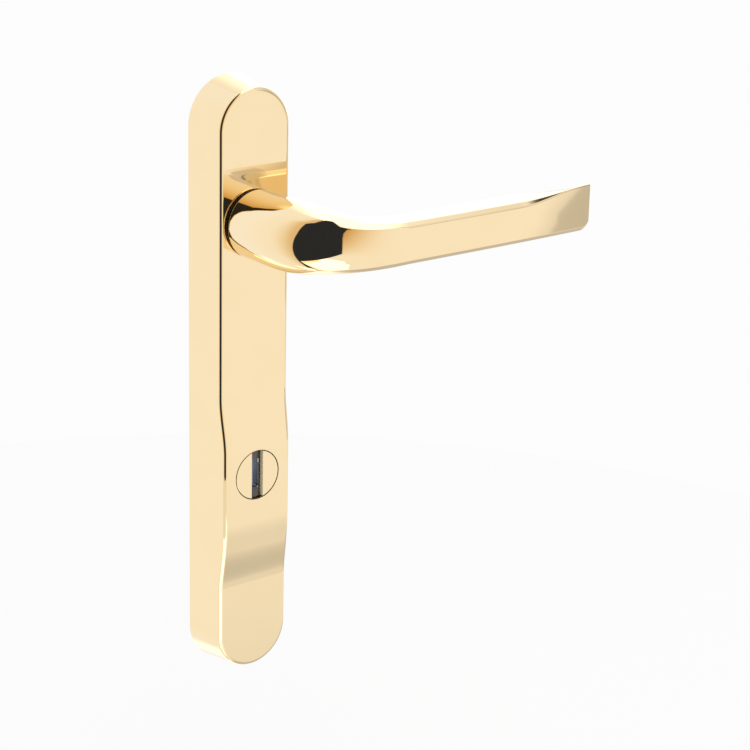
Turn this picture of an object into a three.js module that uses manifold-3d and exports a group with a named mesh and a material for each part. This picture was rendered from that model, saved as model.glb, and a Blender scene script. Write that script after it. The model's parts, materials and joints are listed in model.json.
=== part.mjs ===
// Outside lever handle for a door with a euro cylinder: a sprung lever on a long back plate, and a
// hardened guard disc that turns with the key in front of the cylinder.
//
// Millimetres, +Z up. The door's face is the plane y = 0 and the handle looks along -Y. The origin is
// the middle of the plate's back. A depth is a distance from the door's face towards the front, so a
// point at depth d has y = -d, and a height is a place along Z.

import * as THREE from "three";
import { mergeVertices } from "three/addons/utils/BufferGeometryUtils.js";
import Module from "manifold-3d";

const wasm = await Module();
wasm.setup();

// Driving dimensions

const gap = 0.3; // between pieces that touch
const overrun = 1; // how far a cut runs past the face that it opens
const weld = 0.0001; // vertices closer than this are one

const spindleHeight = 60;
const lockCentres = 92; // spindle axis to cylinder axis
const fixing = { belowSpindle: 30, belowCylinder: 60 }; // axes of the two through-bolts
const cylinderHeight = spindleHeight - lockCentres;
const upperFixingHeight = spindleHeight - fixing.belowSpindle;
const lowerFixingHeight = cylinderHeight - fixing.belowCylinder;

const cover = {
  width: 29.04, // across the sides where the rounded front edge starts
  aboveSpindle: 47.4, // top end from the spindle axis
  belowFixing: 15.4, // bottom end from the lower fixing
  depth: 16,
  draft: 2.15, // how much further out the back edge lies on each side
  edgeRadius: 1.5,
  frontWall: 2.2,
  sideWall: 2,
};

const swell = {
  height: 2.4, // how far the front stands out over the cylinder
  plateauAbove: 9.2,
  plateauBelow: 17.5,
  rampAbove: 21,
  rampBelow: 24.5,
};

const basePlate = { thickness: 2, sideClearance: 0.5 };

const lug = {
  radius: 4,
  behindDoorFace: 9,
  engagement: 8, // how far it sits in the boss
  flangeRadius: 5.4,
  flangeThickness: 1.4,
  threadRadius: 2.1,
  threadDepth: 16,
  bossRadius: 6.2,
  chamfer: 0.8,
};

const coverScrew = {
  shankRadius: 1.45,
  length: 10,
  headRadius: 2.9,
  headHeight: 1.5,
  sunk: 0.2, // head below the door's face
  recessWidth: 0.7,
  recessSpan: 3.2,
  recessDepth: 1,
  postRadius: 3.2,
};
const coverScrewPlaces = {
  belowTop: 13.4, // below the top of the cover
  belowUpperFixing: 14,
  aboveCylinder: 22,
  aboveLowerFixing: 16,
};
const coverTop = spindleHeight + cover.aboveSpindle;
const coverFoot = lowerFixingHeight - cover.belowFixing;
const coverScrewHeights = [
  coverTop - coverScrewPlaces.belowTop,
  upperFixingHeight - coverScrewPlaces.belowUpperFixing,
  cylinderHeight + coverScrewPlaces.aboveCylinder,
  lowerFixingHeight + coverScrewPlaces.aboveLowerFixing,
];

const socket = { width: 8.2, endDepth: 34 }; // open square socket for the spindle

const shank = {
  radius: 8,
  halfFlat: 6.2, // the two flats that drive the follower
  endDepth: 1.2,
  grooveCut: 0.85,
};

const journal = { radius: 9 };

const circlip = { thickness: 0.8, width: 1.85, opening: 5 };

const cassette = {
  radius: 12,
  wall: 0.8,
  lidThickness: 1,
  depth: 7.9, // of the cup
  earCentre: 15.5, // screw centre from the spindle axis
  earRadius: 3.5,
  earThickness: 2,
  stopWidth: 0.8, // of the end stops, inwards from the cup's wall
};

const cassetteScrew = {
  shankRadius: 1.4,
  length: 9,
  headRadius: 2.6,
  headHeight: 0.8,
  recessWidth: 0.6,
  recessSpan: 2.8,
  recessDepth: 0.5,
  postRadius: 2.7,
};

const rotor = {
  rim: 0.9, // ring left outside the driving hole
  armWidth: 6,
  armThickness: 1.3,
};

const spring = { wire: 1, pitch: 1.55, turns: 2.5, bendRadius: 0.8 };

const liftLimit = THREE.MathUtils.degToRad(45);
const pressLimit = THREE.MathUtils.degToRad(40);
const stopPlay = THREE.MathUtils.degToRad(3);

const bush = { wall: 1.1, flangeWidth: 1.6, flangeThickness: 0.6 };
const neckWasher = { width: 2.3, thickness: 0.6 };

// The lever runs straight out from the plate, turns to +X round a quarter bend and ends as a grip.
// Its section changes over the bend from a circle to a rectangle with bevelled edges.
const lever = {
  collarRadius: 12.2,
  bendRadius: 31,
  gripDepth: 57.4, // centre line of the grip
  length: 114.4, // spindle axis to the tip
  gripThickness: 12.2,
  gripHeight: 14.8,
  bevel: 1.45,
  elbowRadius: 12.6,
  bendEndRadius: 11.9,
  gripDrop: 1.1, // centre line below the spindle axis at the end of the bend
  tipDrop: 1.1, // further fall at the tip
  tipSetBack: 2, // how far the tip curves back to the door
  tipZone: 34, // length over which the top bevel runs out
  tipRise: 2.4, // of the front top edge
  tipFall: 1.6, // of the back top edge
  tipCornerRadius: 3.2, // lower corner of the tip
  tipBackRadius: 6, // back corner of the tip, seen from above
};

const guard = {
  discRadius: 8.98,
  seam: 0.32,
  frontWall: 2.2, // of the cover round the disc
  grooveWidth: 4.8,
  grooveDepth: 1.7,
  keywayWidth: 3.2,
  keywayLength: 11,
  coreRadius: 11,
  coreThickness: 2.6,
};

const discRivet = { centre: 5.6, radius: 0.9, headRadius: 1.6, headHeight: 0.8, intoDisc: 1.1 };

const waveWasher = { width: 1.8, thickness: 0.3, wave: 0.4, waves: 3 };

// Euro profile: a round top with a straight stem below it
const profile = { radius: 8.5, stemWidth: 10, height: 33, clearance: 0.3 };

const housing = {
  sideClearance: 0.5,
  backGap: 0.3,
  screwAbove: 14, // upper screw above the cylinder axis
  screwBelow: 28.6,
  edge: 3.6, // metal past each screw's axis
  cornerRadius: 5,
};

const guardScrew = {
  shankRadius: 1.4,
  headRadius: 2.6,
  headHeight: 1.3,
  headSunk: 0.3,
  reach: 3, // into the cover
  recessWidth: 0.6,
  recessSpan: 2.8,
  recessDepth: 0.7,
  postRadius: 3,
};

const drillPlate = { sideClearance: 0.8, hornHeight: 7 };

const drillPin = { radius: 0.9, length: 35, depth: 7, fromSide: 1.7 };

// Number of steps; these are counts, not lengths.
const steps = {
  round: 36, // round a large circle
  small: 16, // round a screw
  arc: 6, // in each half turn of a drawn arc, and doubled for a long one
  end: 12, // round half of the cover's end
  ramp: 6,
  edge: 4,
  bend: 20,
  grip: 9,
  tip: 5,
  wave: 36,
  coil: 20, // in each turn of the spring
  check: 400, // places at which the spring's gap is measured
};
const wireSides = 6;
const sideCounts = { tall: 5, bevel: 2, long: 7 }; // points along the sides of the grip's section

// Colour, roughness and metalness of each finish
const finishes = {
  polishedGold: { color: 0xe9bf6b, roughness: 0.08, metalness: 1 },
  zincPlate: { color: 0xb9bcbf, roughness: 0.38, metalness: 1 },
  castZinc: { color: 0x9a9c9e, roughness: 0.55, metalness: 0.9 },
  hardenedSteel: { color: 0x5b6068, roughness: 0.35, metalness: 1 },
  springSteel: { color: 0x3f444b, roughness: 0.3, metalness: 1 },
  nylon: { color: 0x1d1d1f, roughness: 0.6, metalness: 0 },
};

// Geometry helpers

// A closed body that is joined with, cut by or limited to other closed geometries.
class Body {
  constructor(geometry) {
    this.solid = Body.solidOf(geometry);
  }

  static solidOf(geometry) {
    const bare = geometry.index ? geometry.toNonIndexed() : geometry.clone();
    bare.deleteAttribute("normal");
    bare.deleteAttribute("uv");
    const welded = mergeVertices(bare, weld);
    const mesh = new wasm.Mesh({
      numProp: 3,
      vertProperties: welded.attributes.position.array,
      triVerts: new Uint32Array(welded.index.array),
    });
    return new wasm.Manifold(mesh);
  }

  join(...geometries) {
    for (const geometry of geometries) {
      this.solid = this.solid.add(Body.solidOf(geometry));
    }
    return this;
  }

  cut(...geometries) {
    for (const geometry of geometries) {
      this.solid = this.solid.subtract(Body.solidOf(geometry));
    }
    return this;
  }

  keep(geometry) {
    this.solid = this.solid.intersect(Body.solidOf(geometry));
    return this;
  }

  get geometry() {
    const { vertProperties, triVerts } = this.solid.getMesh();
    const made = new THREE.BufferGeometry();
    made.setAttribute("position", new THREE.BufferAttribute(vertProperties, 3));
    made.setIndex(new THREE.BufferAttribute(triVerts, 1));
    return made;
  }
}

// A solid of revolution about the depth axis, from [radius, depth] pairs.
function turned(pairs, segments = steps.round) {
  const points = pairs.map(([radius, depth]) => new THREE.Vector2(radius, depth));
  return new THREE.LatheGeometry(points, segments).rotateX(Math.PI);
}

function rod(radius, from, to, segments = steps.round) {
  return turned([[0, from], [radius, from], [radius, to], [0, to]], segments);
}

function ring(inner, outer, from, to, segments = steps.round) {
  return turned([[inner, from], [outer, from], [outer, to], [inner, to], [inner, from]], segments);
}

// A flat shape, drawn in X and Z, that runs from one depth to another.
function prism(shape, from, to, curveSegments = steps.arc) {
  const options = { depth: to - from, bevelEnabled: false, curveSegments };
  const geometry = new THREE.ExtrudeGeometry(shape, options);
  return geometry.rotateX(Math.PI / 2).translate(0, -from, 0);
}

function block(width, height, from, to) {
  return new THREE.BoxGeometry(width, to - from, height).translate(0, -(from + to) / 2, 0);
}

// A cross for a screwdriver, cut into a head that looks at the door.
function crossRecess({ recessWidth, recessSpan, recessDepth }, headDepth) {
  const from = headDepth - overrun;
  const to = headDepth + recessDepth;
  return [block(recessWidth, recessSpan, from, to), block(recessSpan, recessWidth, from, to)];
}

// Joins rings of points, each counter-clockwise seen from the next one. With a cap (triangles over
// one ring) both ends are closed, and without one the last ring meets the first.
function skin(rings, cap = null) {
  const size = rings[0].length;
  const faces = [];
  const spans = cap ? rings.length - 1 : rings.length;
  for (let k = 0; k < spans; k += 1) {
    const here = k * size;
    const next = ((k + 1) % rings.length) * size;
    for (let i = 0; i < size; i += 1) {
      const j = (i + 1) % size;
      faces.push(here + i, here + j, next + j);
      faces.push(here + i, next + j, next + i);
    }
  }
  const last = (rings.length - 1) * size;
  for (const [a, b, c] of cap ?? []) {
    faces.push(c, b, a);
    faces.push(last + a, last + b, last + c);
  }
  const geometry = new THREE.BufferGeometry();
  geometry.setAttribute("position", new THREE.Float32BufferAttribute(rings.flat(2), 3));
  geometry.setIndex(faces);
  return geometry;
}

// Triangles over a convex ring
function fan(size) {
  return Array.from({ length: size - 2 }, (_, i) => [0, i + 1, i + 2]);
}

function evenly(count, from, to) {
  return Array.from({ length: count + 1 }, (_, i) => from + ((to - from) * i) / count);
}

// Cover: a draughted shell with round ends, a rounded front edge and a swell over the cylinder

const topCentre = coverTop - cover.width / 2;
const footCentre = coverFoot + cover.width / 2;
const swellTop = cylinderHeight + swell.plateauAbove;
const swellFoot = cylinderHeight - swell.plateauBelow;

function frontDepth(height) {
  const rising = THREE.MathUtils.smoothstep(height, swellFoot - swell.rampBelow, swellFoot);
  const falling = 1 - THREE.MathUtils.smoothstep(height, swellTop, swellTop + swell.rampAbove);
  return cover.depth + swell.height * rising * falling;
}

// Half width of the cover's outside at a depth
function halfWidthAt(depth) {
  const share = 1 - depth / (cover.depth - cover.edgeRadius);
  return cover.width / 2 + cover.draft * share;
}

// Round-ended outline as [x, height] pairs, counter-clockwise seen from the front. halfWidthOf gives
// the half width at the height of a point on the nominal outline.
function roundEnded(halfWidthOf) {
  const nominal = cover.width / 2;
  const left = [];
  for (const angle of evenly(steps.end, Math.PI / 2, Math.PI)) {
    const radius = halfWidthOf(topCentre + nominal * Math.sin(angle));
    left.push([radius * Math.cos(angle), topCentre + radius * Math.sin(angle)]);
  }
  const ramps = [
    ...evenly(steps.ramp, swellTop + swell.rampAbove, swellTop),
    ...evenly(steps.ramp, swellFoot, swellFoot - swell.rampBelow),
  ];
  for (const height of ramps) {
    left.push([-halfWidthOf(height), height]);
  }
  for (const angle of evenly(steps.end, Math.PI, (3 * Math.PI) / 2)) {
    const radius = halfWidthOf(footCentre + nominal * Math.sin(angle));
    left.push([radius * Math.cos(angle), footCentre + radius * Math.sin(angle)]);
  }
  left[0][0] = 0;
  left[left.length - 1][0] = 0;
  const right = left.slice(1, -1).reverse().map(([x, height]) => [-x, height]);
  return [...left, ...right];
}

// Triangles between the mirrored points of a round-ended ring
function mirroredCap(size) {
  const triangles = [];
  for (let i = 0; i < size / 2; i += 1) {
    const mirrored = (size - i) % size;
    if (i > 0) {
      triangles.push([i, i + 1, mirrored]);
    }
    if (i + 1 < size / 2) {
      triangles.push([i + 1, size - i - 1, mirrored]);
    }
  }
  return triangles;
}

function coverOutside() {
  const rings = [roundEnded(() => halfWidthAt(0)).map(([x, height]) => [x, 0, height])];
  for (const angle of evenly(steps.edge, 0, Math.PI / 2)) {
    const inset = cover.edgeRadius * (1 - Math.cos(angle));
    const below = cover.edgeRadius * (1 - Math.sin(angle));
    const outline = roundEnded((height) => halfWidthAt(frontDepth(height) - cover.edgeRadius) - inset);
    rings.push(outline.map(([x, height]) => [x, below - frontDepth(height), height]));
  }
  return skin(rings, mirroredCap(rings[0].length));
}

// The round-ended space inside a wall, from one depth to another
function roundEndedSolid(inset, from, to) {
  const rings = [from, to].map((depth) =>
    roundEnded(() => halfWidthAt(depth) - inset).map(([x, height]) => [x, -depth, height]),
  );
  return skin(rings, mirroredCap(rings[0].length));
}

const coverInside = cover.depth - cover.frontWall; // depth of the front wall's inner face

function post(radius, from, height) {
  return rod(radius, from, coverInside + cover.frontWall / 2, steps.small).translate(0, 0, height);
}

// Depths of the lever's train, from the door outwards

const clipBack = basePlate.thickness + gap;
const clipFront = clipBack + circlip.thickness;
const lidBack = clipFront + gap;
const lidFront = lidBack + cassette.lidThickness;
const cupBack = lidFront + gap;
const cupFront = cupBack + cassette.depth;
const cupFloor = cupFront - cassette.wall;
const earFront = cupBack + cassette.earThickness;
const rotorBack = cupBack;
const rotorFront = cupFloor - 2 * gap;
const flangeBack = cupFront + gap;
const flangeFront = flangeBack + bush.flangeThickness;
const bushInner = journal.radius + gap;
const bushOuter = bushInner + bush.wall;
const neckWasherBack = cover.depth + gap;
const neckWasherFront = neckWasherBack + neckWasher.thickness;
const collarDepth = neckWasherFront + gap;
const bossFoot = basePlate.thickness + 2 * gap + lug.flangeThickness;

// Depths of the guard, from the front inwards

const discFront = cover.depth + swell.height;
const pocketDepth = discFront - guard.frontWall;
const discBack = pocketDepth;
const coreFront = pocketDepth - gap;
const coreBack = coreFront - guard.coreThickness;
const washerSpace = waveWasher.thickness + waveWasher.wave;
const washerBack = coreBack - gap - washerSpace;
const housingFront = washerBack - gap;
const housingBack = basePlate.thickness + housing.backGap;
const housingTop = cylinderHeight + housing.screwAbove + housing.edge;
const housingFoot = cylinderHeight - housing.screwBelow - housing.edge;
const guardScrewHeights = [cylinderHeight + housing.screwAbove, cylinderHeight - housing.screwBelow];
const housingHalfWidth = halfWidthAt(housingFront) - cover.sideWall - housing.sideClearance;

const coverScrewEnd = coverScrew.sunk + coverScrew.length;
const cassetteScrewBack = lidBack - gap - cassetteScrew.headHeight;
const cassetteScrewEnd = cassetteScrewBack + cassetteScrew.headHeight + cassetteScrew.length;
const cassetteScrewHeights = [spindleHeight + cassette.earCentre, spindleHeight - cassette.earCentre];
const guardHeadBack = housingBack + guardScrew.headSunk;
const guardScrewEnd = housingFront + guardScrew.reach;
const lugHeights = [upperFixingHeight, lowerFixingHeight];
const lugFront = bossFoot + lug.engagement;

// Pieces of the plate

function makeCover() {
  const body = new Body(coverOutside());
  body.cut(roundEndedSolid(cover.sideWall, -overrun, coverInside));
  for (const height of coverScrewHeights) {
    body.join(post(coverScrew.postRadius, basePlate.thickness + gap, height));
    body.cut(pilot(coverScrew.shankRadius, coverScrewEnd, height));
  }
  for (const height of cassetteScrewHeights) {
    body.join(post(cassetteScrew.postRadius, earFront + gap, height));
    body.cut(pilot(cassetteScrew.shankRadius, cassetteScrewEnd, height));
  }
  for (const height of guardScrewHeights) {
    body.join(post(guardScrew.postRadius, housingFront + gap, height));
    body.cut(pilot(guardScrew.shankRadius, guardScrewEnd, height));
  }
  for (const height of lugHeights) {
    body.join(post(lug.bossRadius, bossFoot, height));
    body.cut(pilot(lug.radius, lugFront, height));
  }
  const neckHole = rod(bushOuter + gap, coverInside - overrun, cover.depth + overrun);
  const pocket = rod(guard.coreRadius + gap, housingFront, pocketDepth);
  const discHole = rod(guard.discRadius + guard.seam, pocketDepth - overrun, discFront + overrun);
  body.cut(neckHole.translate(0, 0, spindleHeight));
  body.cut(pocket.translate(0, 0, cylinderHeight), discHole.translate(0, 0, cylinderHeight));
  return body.geometry;
}

// The hole that a screw or a lug leaves clear round itself, open to the back
function pilot(radius, endDepth, height) {
  return rod(radius + gap, -overrun, endDepth + gap, steps.small).translate(0, 0, height);
}

// Euro profile round the cylinder axis, larger all round by a margin
function euroProfile(margin) {
  const radius = profile.radius + margin;
  const halfStem = profile.stemWidth / 2 + margin;
  const foot = profile.radius - profile.height - margin;
  const meet = Math.asin(halfStem / radius);
  const shape = new THREE.Shape();
  shape.moveTo(-halfStem, foot);
  shape.lineTo(halfStem, foot);
  shape.absarc(0, 0, radius, meet - Math.PI / 2, (3 * Math.PI) / 2 - meet, false);
  shape.closePath();
  return shape;
}

function profileHole(margin, from, to) {
  return prism(euroProfile(margin), from, to, 2 * steps.arc).translate(0, 0, cylinderHeight);
}

function makeBasePlate() {
  const inset = cover.sideWall + basePlate.sideClearance;
  const body = new Body(roundEndedSolid(inset, 0, basePlate.thickness));
  const holeEnd = basePlate.thickness + overrun;
  body.cut(rod(shank.radius + 2 * gap, -overrun, holeEnd).translate(0, 0, spindleHeight));
  body.cut(profileHole(profile.clearance + gap, -overrun, holeEnd));
  for (const height of lugHeights) {
    body.cut(rod(lug.radius + gap, -overrun, holeEnd, steps.small).translate(0, 0, height));
  }
  const { headRadius, headHeight, shankRadius, sunk } = coverScrew;
  const sink = turned(
    [
      [0, -overrun],
      [headRadius + gap, -overrun],
      [headRadius + gap, sunk],
      [shankRadius + gap, sunk + headHeight],
      [shankRadius + gap, holeEnd],
      [0, holeEnd],
    ],
    steps.small,
  );
  for (const height of coverScrewHeights) {
    body.cut(sink.clone().translate(0, 0, height));
  }
  return body.geometry;
}

function makeLug() {
  const tail = -lug.behindDoorFace;
  const flangeFoot = basePlate.thickness + gap;
  const outside = turned(
    [
      [0, tail],
      [lug.radius - lug.chamfer, tail],
      [lug.radius, tail + lug.chamfer],
      [lug.radius, flangeFoot],
      [lug.flangeRadius, flangeFoot],
      [lug.flangeRadius, flangeFoot + lug.flangeThickness],
      [lug.radius, flangeFoot + lug.flangeThickness],
      [lug.radius, lugFront],
      [0, lugFront],
    ],
    steps.small,
  );
  const thread = rod(lug.threadRadius, tail - overrun, tail + lug.threadDepth, steps.small);
  return new Body(outside).cut(thread).geometry;
}

function makeCoverScrew() {
  const { headRadius, headHeight, shankRadius, sunk } = coverScrew;
  const outside = turned(
    [
      [0, sunk],
      [headRadius, sunk],
      [shankRadius, sunk + headHeight],
      [shankRadius, coverScrewEnd],
      [0, coverScrewEnd],
    ],
    steps.small,
  );
  return new Body(outside).cut(...crossRecess(coverScrew, sunk)).geometry;
}

function makePanScrew(screw, headBack, end) {
  const headFront = headBack + screw.headHeight;
  const outside = turned(
    [
      [0, headBack],
      [screw.headRadius, headBack],
      [screw.headRadius, headFront],
      [screw.shankRadius, headFront],
      [screw.shankRadius, end],
      [0, end],
    ],
    steps.small,
  );
  return new Body(outside).cut(...crossRecess(screw, headBack)).geometry;
}

// Pieces round the spindle axis

function makeBush() {
  return turned([
    [bushInner, flangeBack],
    [bushOuter + bush.flangeWidth, flangeBack],
    [bushOuter + bush.flangeWidth, flangeFront],
    [bushOuter, flangeFront],
    [bushOuter, cover.depth],
    [bushInner, cover.depth],
    [bushInner, flangeBack],
  ]);
}

function makeNeckWasher() {
  return ring(bushInner, bushInner + neckWasher.width, neckWasherBack, neckWasherFront);
}

// Two ears, above and below the cassette, for its screws
function ears(from, to) {
  const { earRadius, earCentre } = cassette;
  const shape = new THREE.Shape();
  shape.moveTo(earRadius, -earCentre);
  shape.lineTo(earRadius, earCentre);
  shape.absarc(0, earCentre, earRadius, 0, Math.PI, false);
  shape.lineTo(-earRadius, -earCentre);
  shape.absarc(0, -earCentre, earRadius, Math.PI, 2 * Math.PI, false);
  return prism(shape, from, to);
}

function earHoles(from, to) {
  return [-cassette.earCentre, cassette.earCentre].map((height) =>
    rod(cassetteScrew.shankRadius + gap, from, to, steps.small).translate(0, 0, height),
  );
}

const cupInner = cassette.radius - cassette.wall;
const rotorRadius = shank.radius + gap + rotor.rim;
const armReach = cupInner - gap;
const armHalfAngle = Math.atan2(rotor.armWidth / 2, rotorRadius);
const coilRadius = rotorRadius + gap + spring.wire / 2;
const armBack = rotorFront - rotor.armThickness;

function makeCassetteCup() {
  const cup = turned([
    [cupInner, cupBack],
    [cassette.radius, cupBack],
    [cassette.radius, cupFront],
    [journal.radius + gap, cupFront],
    [journal.radius + gap, cupFloor],
    [cupInner, cupFloor],
    [cupInner, cupBack],
  ]);
  const inside = rod(cupInner, cupBack - overrun, earFront + overrun);
  const earPlate = new Body(ears(cupBack, earFront)).cut(inside);
  const stop = new THREE.Shape();
  const right = -Math.PI / 2 + liftLimit + armHalfAngle + stopPlay;
  const left = (3 * Math.PI) / 2 - pressLimit - armHalfAngle - stopPlay;
  stop.absarc(0, 0, cupInner + cassette.wall / 2, right, left, false);
  stop.absarc(0, 0, cupInner - cassette.stopWidth, left, right, true);
  stop.closePath();
  const stopBlock = prism(stop, armBack, cupFloor + cassette.wall / 2, 2 * steps.arc);
  return new Body(cup)
    .join(earPlate.geometry, stopBlock)
    .cut(...earHoles(cupBack - overrun, earFront + overrun)).geometry;
}

function makeCassetteLid() {
  const from = lidBack - overrun;
  const to = lidFront + overrun;
  const slotHeight = spring.wire + 2 * gap;
  const legSlot = block(slotHeight + 2 * spring.bendRadius, slotHeight, from, to);
  return new Body(rod(cassette.radius, lidBack, lidFront))
    .join(ears(lidBack, lidFront))
    .cut(rod(shank.radius + gap, from, to), legSlot.translate(0, 0, coilRadius))
    .cut(...earHoles(from, to)).geometry;
}

// A round bar with two flats
function flattedRod(radius, halfFlat, from, to) {
  return new Body(rod(radius, from, to)).keep(block(2 * halfFlat, 4 * radius, from, to)).geometry;
}

function makeRotor() {
  const armHeight = armReach - rotorRadius / 2;
  const armCentre = -(armReach + rotorRadius / 2) / 2;
  const arm = block(rotor.armWidth, armHeight, armBack, rotorFront).translate(0, 0, armCentre);
  const legSlot = block(spring.wire + 2 * gap, armHeight, armBack - overrun, rotorFront + overrun);
  const slotCentre = armCentre - (rotorRadius / 2 - gap);
  const roundedArm = new Body(arm).keep(rod(armReach, armBack, rotorFront));
  const from = rotorBack - overrun;
  const to = rotorFront + overrun;
  return new Body(rod(rotorRadius, rotorBack, rotorFront))
    .join(roundedArm.geometry)
    .cut(legSlot.translate(0, 0, slotCentre))
    .cut(flattedRod(shank.radius + gap, shank.halfFlat + gap, from, to)).geometry;
}

// The wire's centre line: a leg in the follower's fork, the turns, and a leg through the lid
function springLine() {
  const firstDepth = armBack - gap - spring.wire / 2;
  const lastDepth = firstDepth - spring.pitch * spring.turns;
  const sweep = 2 * Math.PI * spring.turns;
  const bendAngle = spring.bendRadius / coilRadius;
  const points = [new THREE.Vector3(0, -(rotorFront - gap), -coilRadius)];
  points.push(new THREE.Vector3(0, -(firstDepth + spring.bendRadius), -coilRadius));
  const count = Math.round(steps.coil * spring.turns);
  for (const angle of evenly(count, bendAngle, sweep - bendAngle)) {
    const depth = firstDepth + ((lastDepth - firstDepth) * angle) / sweep;
    const around = angle - Math.PI / 2;
    points.push(new THREE.Vector3(coilRadius * Math.cos(around), -depth, coilRadius * Math.sin(around)));
  }
  points.push(new THREE.Vector3(0, -(lastDepth - spring.bendRadius), coilRadius));
  points.push(new THREE.Vector3(0, -(lidBack + gap), coilRadius));
  return new THREE.CatmullRomCurve3(points);
}

function makeSpring() {
  const line = springLine();
  const section = new THREE.Shape();
  section.absarc(0, 0, spring.wire / 2, 0, 2 * Math.PI, false);
  const stepCount = Math.round(steps.coil * (spring.turns + 1));
  return new THREE.ExtrudeGeometry(section, {
    steps: stepCount,
    extrudePath: line,
    curveSegments: wireSides / 2,
    bevelEnabled: false,
  });
}

// Least free space between two turns of the spring, measured on points of its centre line
function springLeastGap() {
  const places = springLine().getSpacedPoints(steps.check);
  const apart = Math.round(places.length / (2 * spring.turns));
  let least = Infinity;
  places.forEach((place, i) => {
    for (const other of places.slice(i + apart)) {
      least = Math.min(least, place.distanceTo(other));
    }
  });
  return least - spring.wire;
}

function makeCirclip() {
  const inner = shank.radius - shank.grooveCut + gap;
  const outer = inner + circlip.width;
  const opening = block(circlip.opening, outer, clipBack - overrun, clipFront + overrun);
  return new Body(ring(inner, outer, clipBack, clipFront)).cut(opening.translate(0, 0, -outer)).geometry;
}

// Lever

// Corners of the grip's section as [towards the door, height] pairs, counter-clockwise seen from the
// tip, each side given with its number of points. toEnd is the distance left to the tip.
function gripSides(toEnd) {
  const run = 1 - THREE.MathUtils.smoothstep(toEnd, 0, lever.tipZone);
  const back = lever.gripThickness / 2 - cornerCut(lever.tipBackRadius, toEnd);
  const front = -lever.gripThickness / 2;
  const foot = cornerCut(lever.tipCornerRadius, toEnd) - lever.gripHeight / 2;
  const backTop = lever.gripHeight / 2 - lever.tipFall * run;
  const frontTop = lever.gripHeight / 2 + lever.tipRise * run;
  const frontBevel = lever.bevel * (1 - run);
  return [
    { corner: [back, foot + lever.bevel], points: sideCounts.tall },
    { corner: [back, backTop - lever.bevel], points: sideCounts.bevel },
    { corner: [back - lever.bevel, backTop], points: sideCounts.long },
    { corner: [front + frontBevel, frontTop], points: sideCounts.bevel },
    { corner: [front, frontTop - frontBevel], points: sideCounts.tall },
    { corner: [front, foot + lever.bevel], points: sideCounts.bevel },
    { corner: [front + lever.bevel, foot], points: sideCounts.long },
    { corner: [back - lever.bevel, foot], points: sideCounts.bevel },
  ];
}

// How far a corner of this radius has gone in at a distance from the end
function cornerCut(radius, toEnd) {
  const left = Math.max(radius - toEnd, 0);
  return radius - Math.sqrt(radius * radius - left * left);
}

function gripSection(toEnd) {
  const sides = gripSides(toEnd);
  const points = [];
  sides.forEach(({ corner, points: count }, k) => {
    const next = sides[(k + 1) % sides.length].corner;
    for (let i = 0; i < count; i += 1) {
      const share = i / count;
      points.push([corner[0] + (next[0] - corner[0]) * share, corner[1] + (next[1] - corner[1]) * share]);
    }
  });
  return points;
}

const bendStart = lever.gripDepth - lever.bendRadius;
const gripLength = lever.length - lever.bendRadius;
const morphStartShare = 0.1;
const morphEndShare = 1.08;
const elbowShare = 0.3;
const bendEndShare = 0.8;
const roundEndShare = 0.22; // of the grip, where the last roundness is gone

// Radius of the round section at a share of the bend
function neckRadius(share) {
  const toElbow = THREE.MathUtils.smoothstep(share, 0, elbowShare);
  const toEnd = THREE.MathUtils.smoothstep(share, elbowShare, bendEndShare);
  const grown = lever.collarRadius + (lever.elbowRadius - lever.collarRadius) * toElbow;
  return grown + (lever.bendEndRadius - lever.elbowRadius) * toEnd;
}

// One ring of the lever: centre and forward direction in X and depth, centre height, round share
function leverRing({ x, depth, forward, height, roundShare, radius, toEnd }) {
  const full = gripSection(lever.tipZone);
  return gripSection(toEnd).map(([across, up], i) => {
    const angle = Math.atan2(full[i][1], full[i][0]);
    const a = roundShare * radius * Math.cos(angle) + (1 - roundShare) * across;
    const b = roundShare * radius * Math.sin(angle) + (1 - roundShare) * up;
    return [x + a * forward.depth, -depth + a * forward.x, height + b];
  });
}

function leverRings() {
  const rings = [];
  for (const depth of [collarDepth, (collarDepth + bendStart) / 2]) {
    rings.push(
      leverRing({
        x: 0,
        depth,
        forward: { x: 0, depth: 1 },
        height: 0,
        roundShare: 1,
        radius: lever.collarRadius,
        toEnd: gripLength,
      }),
    );
  }
  for (const share of evenly(steps.bend, 0, 1)) {
    const angle = (share * Math.PI) / 2;
    rings.push(
      leverRing({
        x: lever.bendRadius * (1 - Math.cos(angle)),
        depth: bendStart + lever.bendRadius * Math.sin(angle),
        forward: { x: Math.sin(angle), depth: Math.cos(angle) },
        height: -lever.gripDrop * THREE.MathUtils.smoothstep(share, 0, bendEndShare),
        roundShare: 1 - THREE.MathUtils.smoothstep(share, morphStartShare, morphEndShare),
        radius: neckRadius(share),
        toEnd: gripLength,
      }),
    );
  }
  const roundLeft = 1 - THREE.MathUtils.smoothstep(1, morphStartShare, morphEndShare);
  const lengths = [
    ...evenly(steps.grip, 0, gripLength - lever.tipBackRadius).slice(1),
    ...evenly(steps.tip, 0, Math.PI / 2)
      .slice(1)
      .map((angle) => gripLength - lever.tipBackRadius * (1 - Math.sin(angle))),
  ];
  for (const along of lengths) {
    const share = along / gripLength;
    rings.push(
      leverRing({
        x: lever.bendRadius + along,
        depth: lever.gripDepth - lever.tipSetBack * share * share,
        forward: { x: 1, depth: 0 },
        height: -lever.gripDrop - lever.tipDrop * share,
        roundShare: roundLeft * THREE.MathUtils.clamp(1 - share / roundEndShare, 0, 1),
        radius: lever.bendEndRadius,
        toEnd: gripLength - along,
      }),
    );
  }
  return rings;
}

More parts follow.
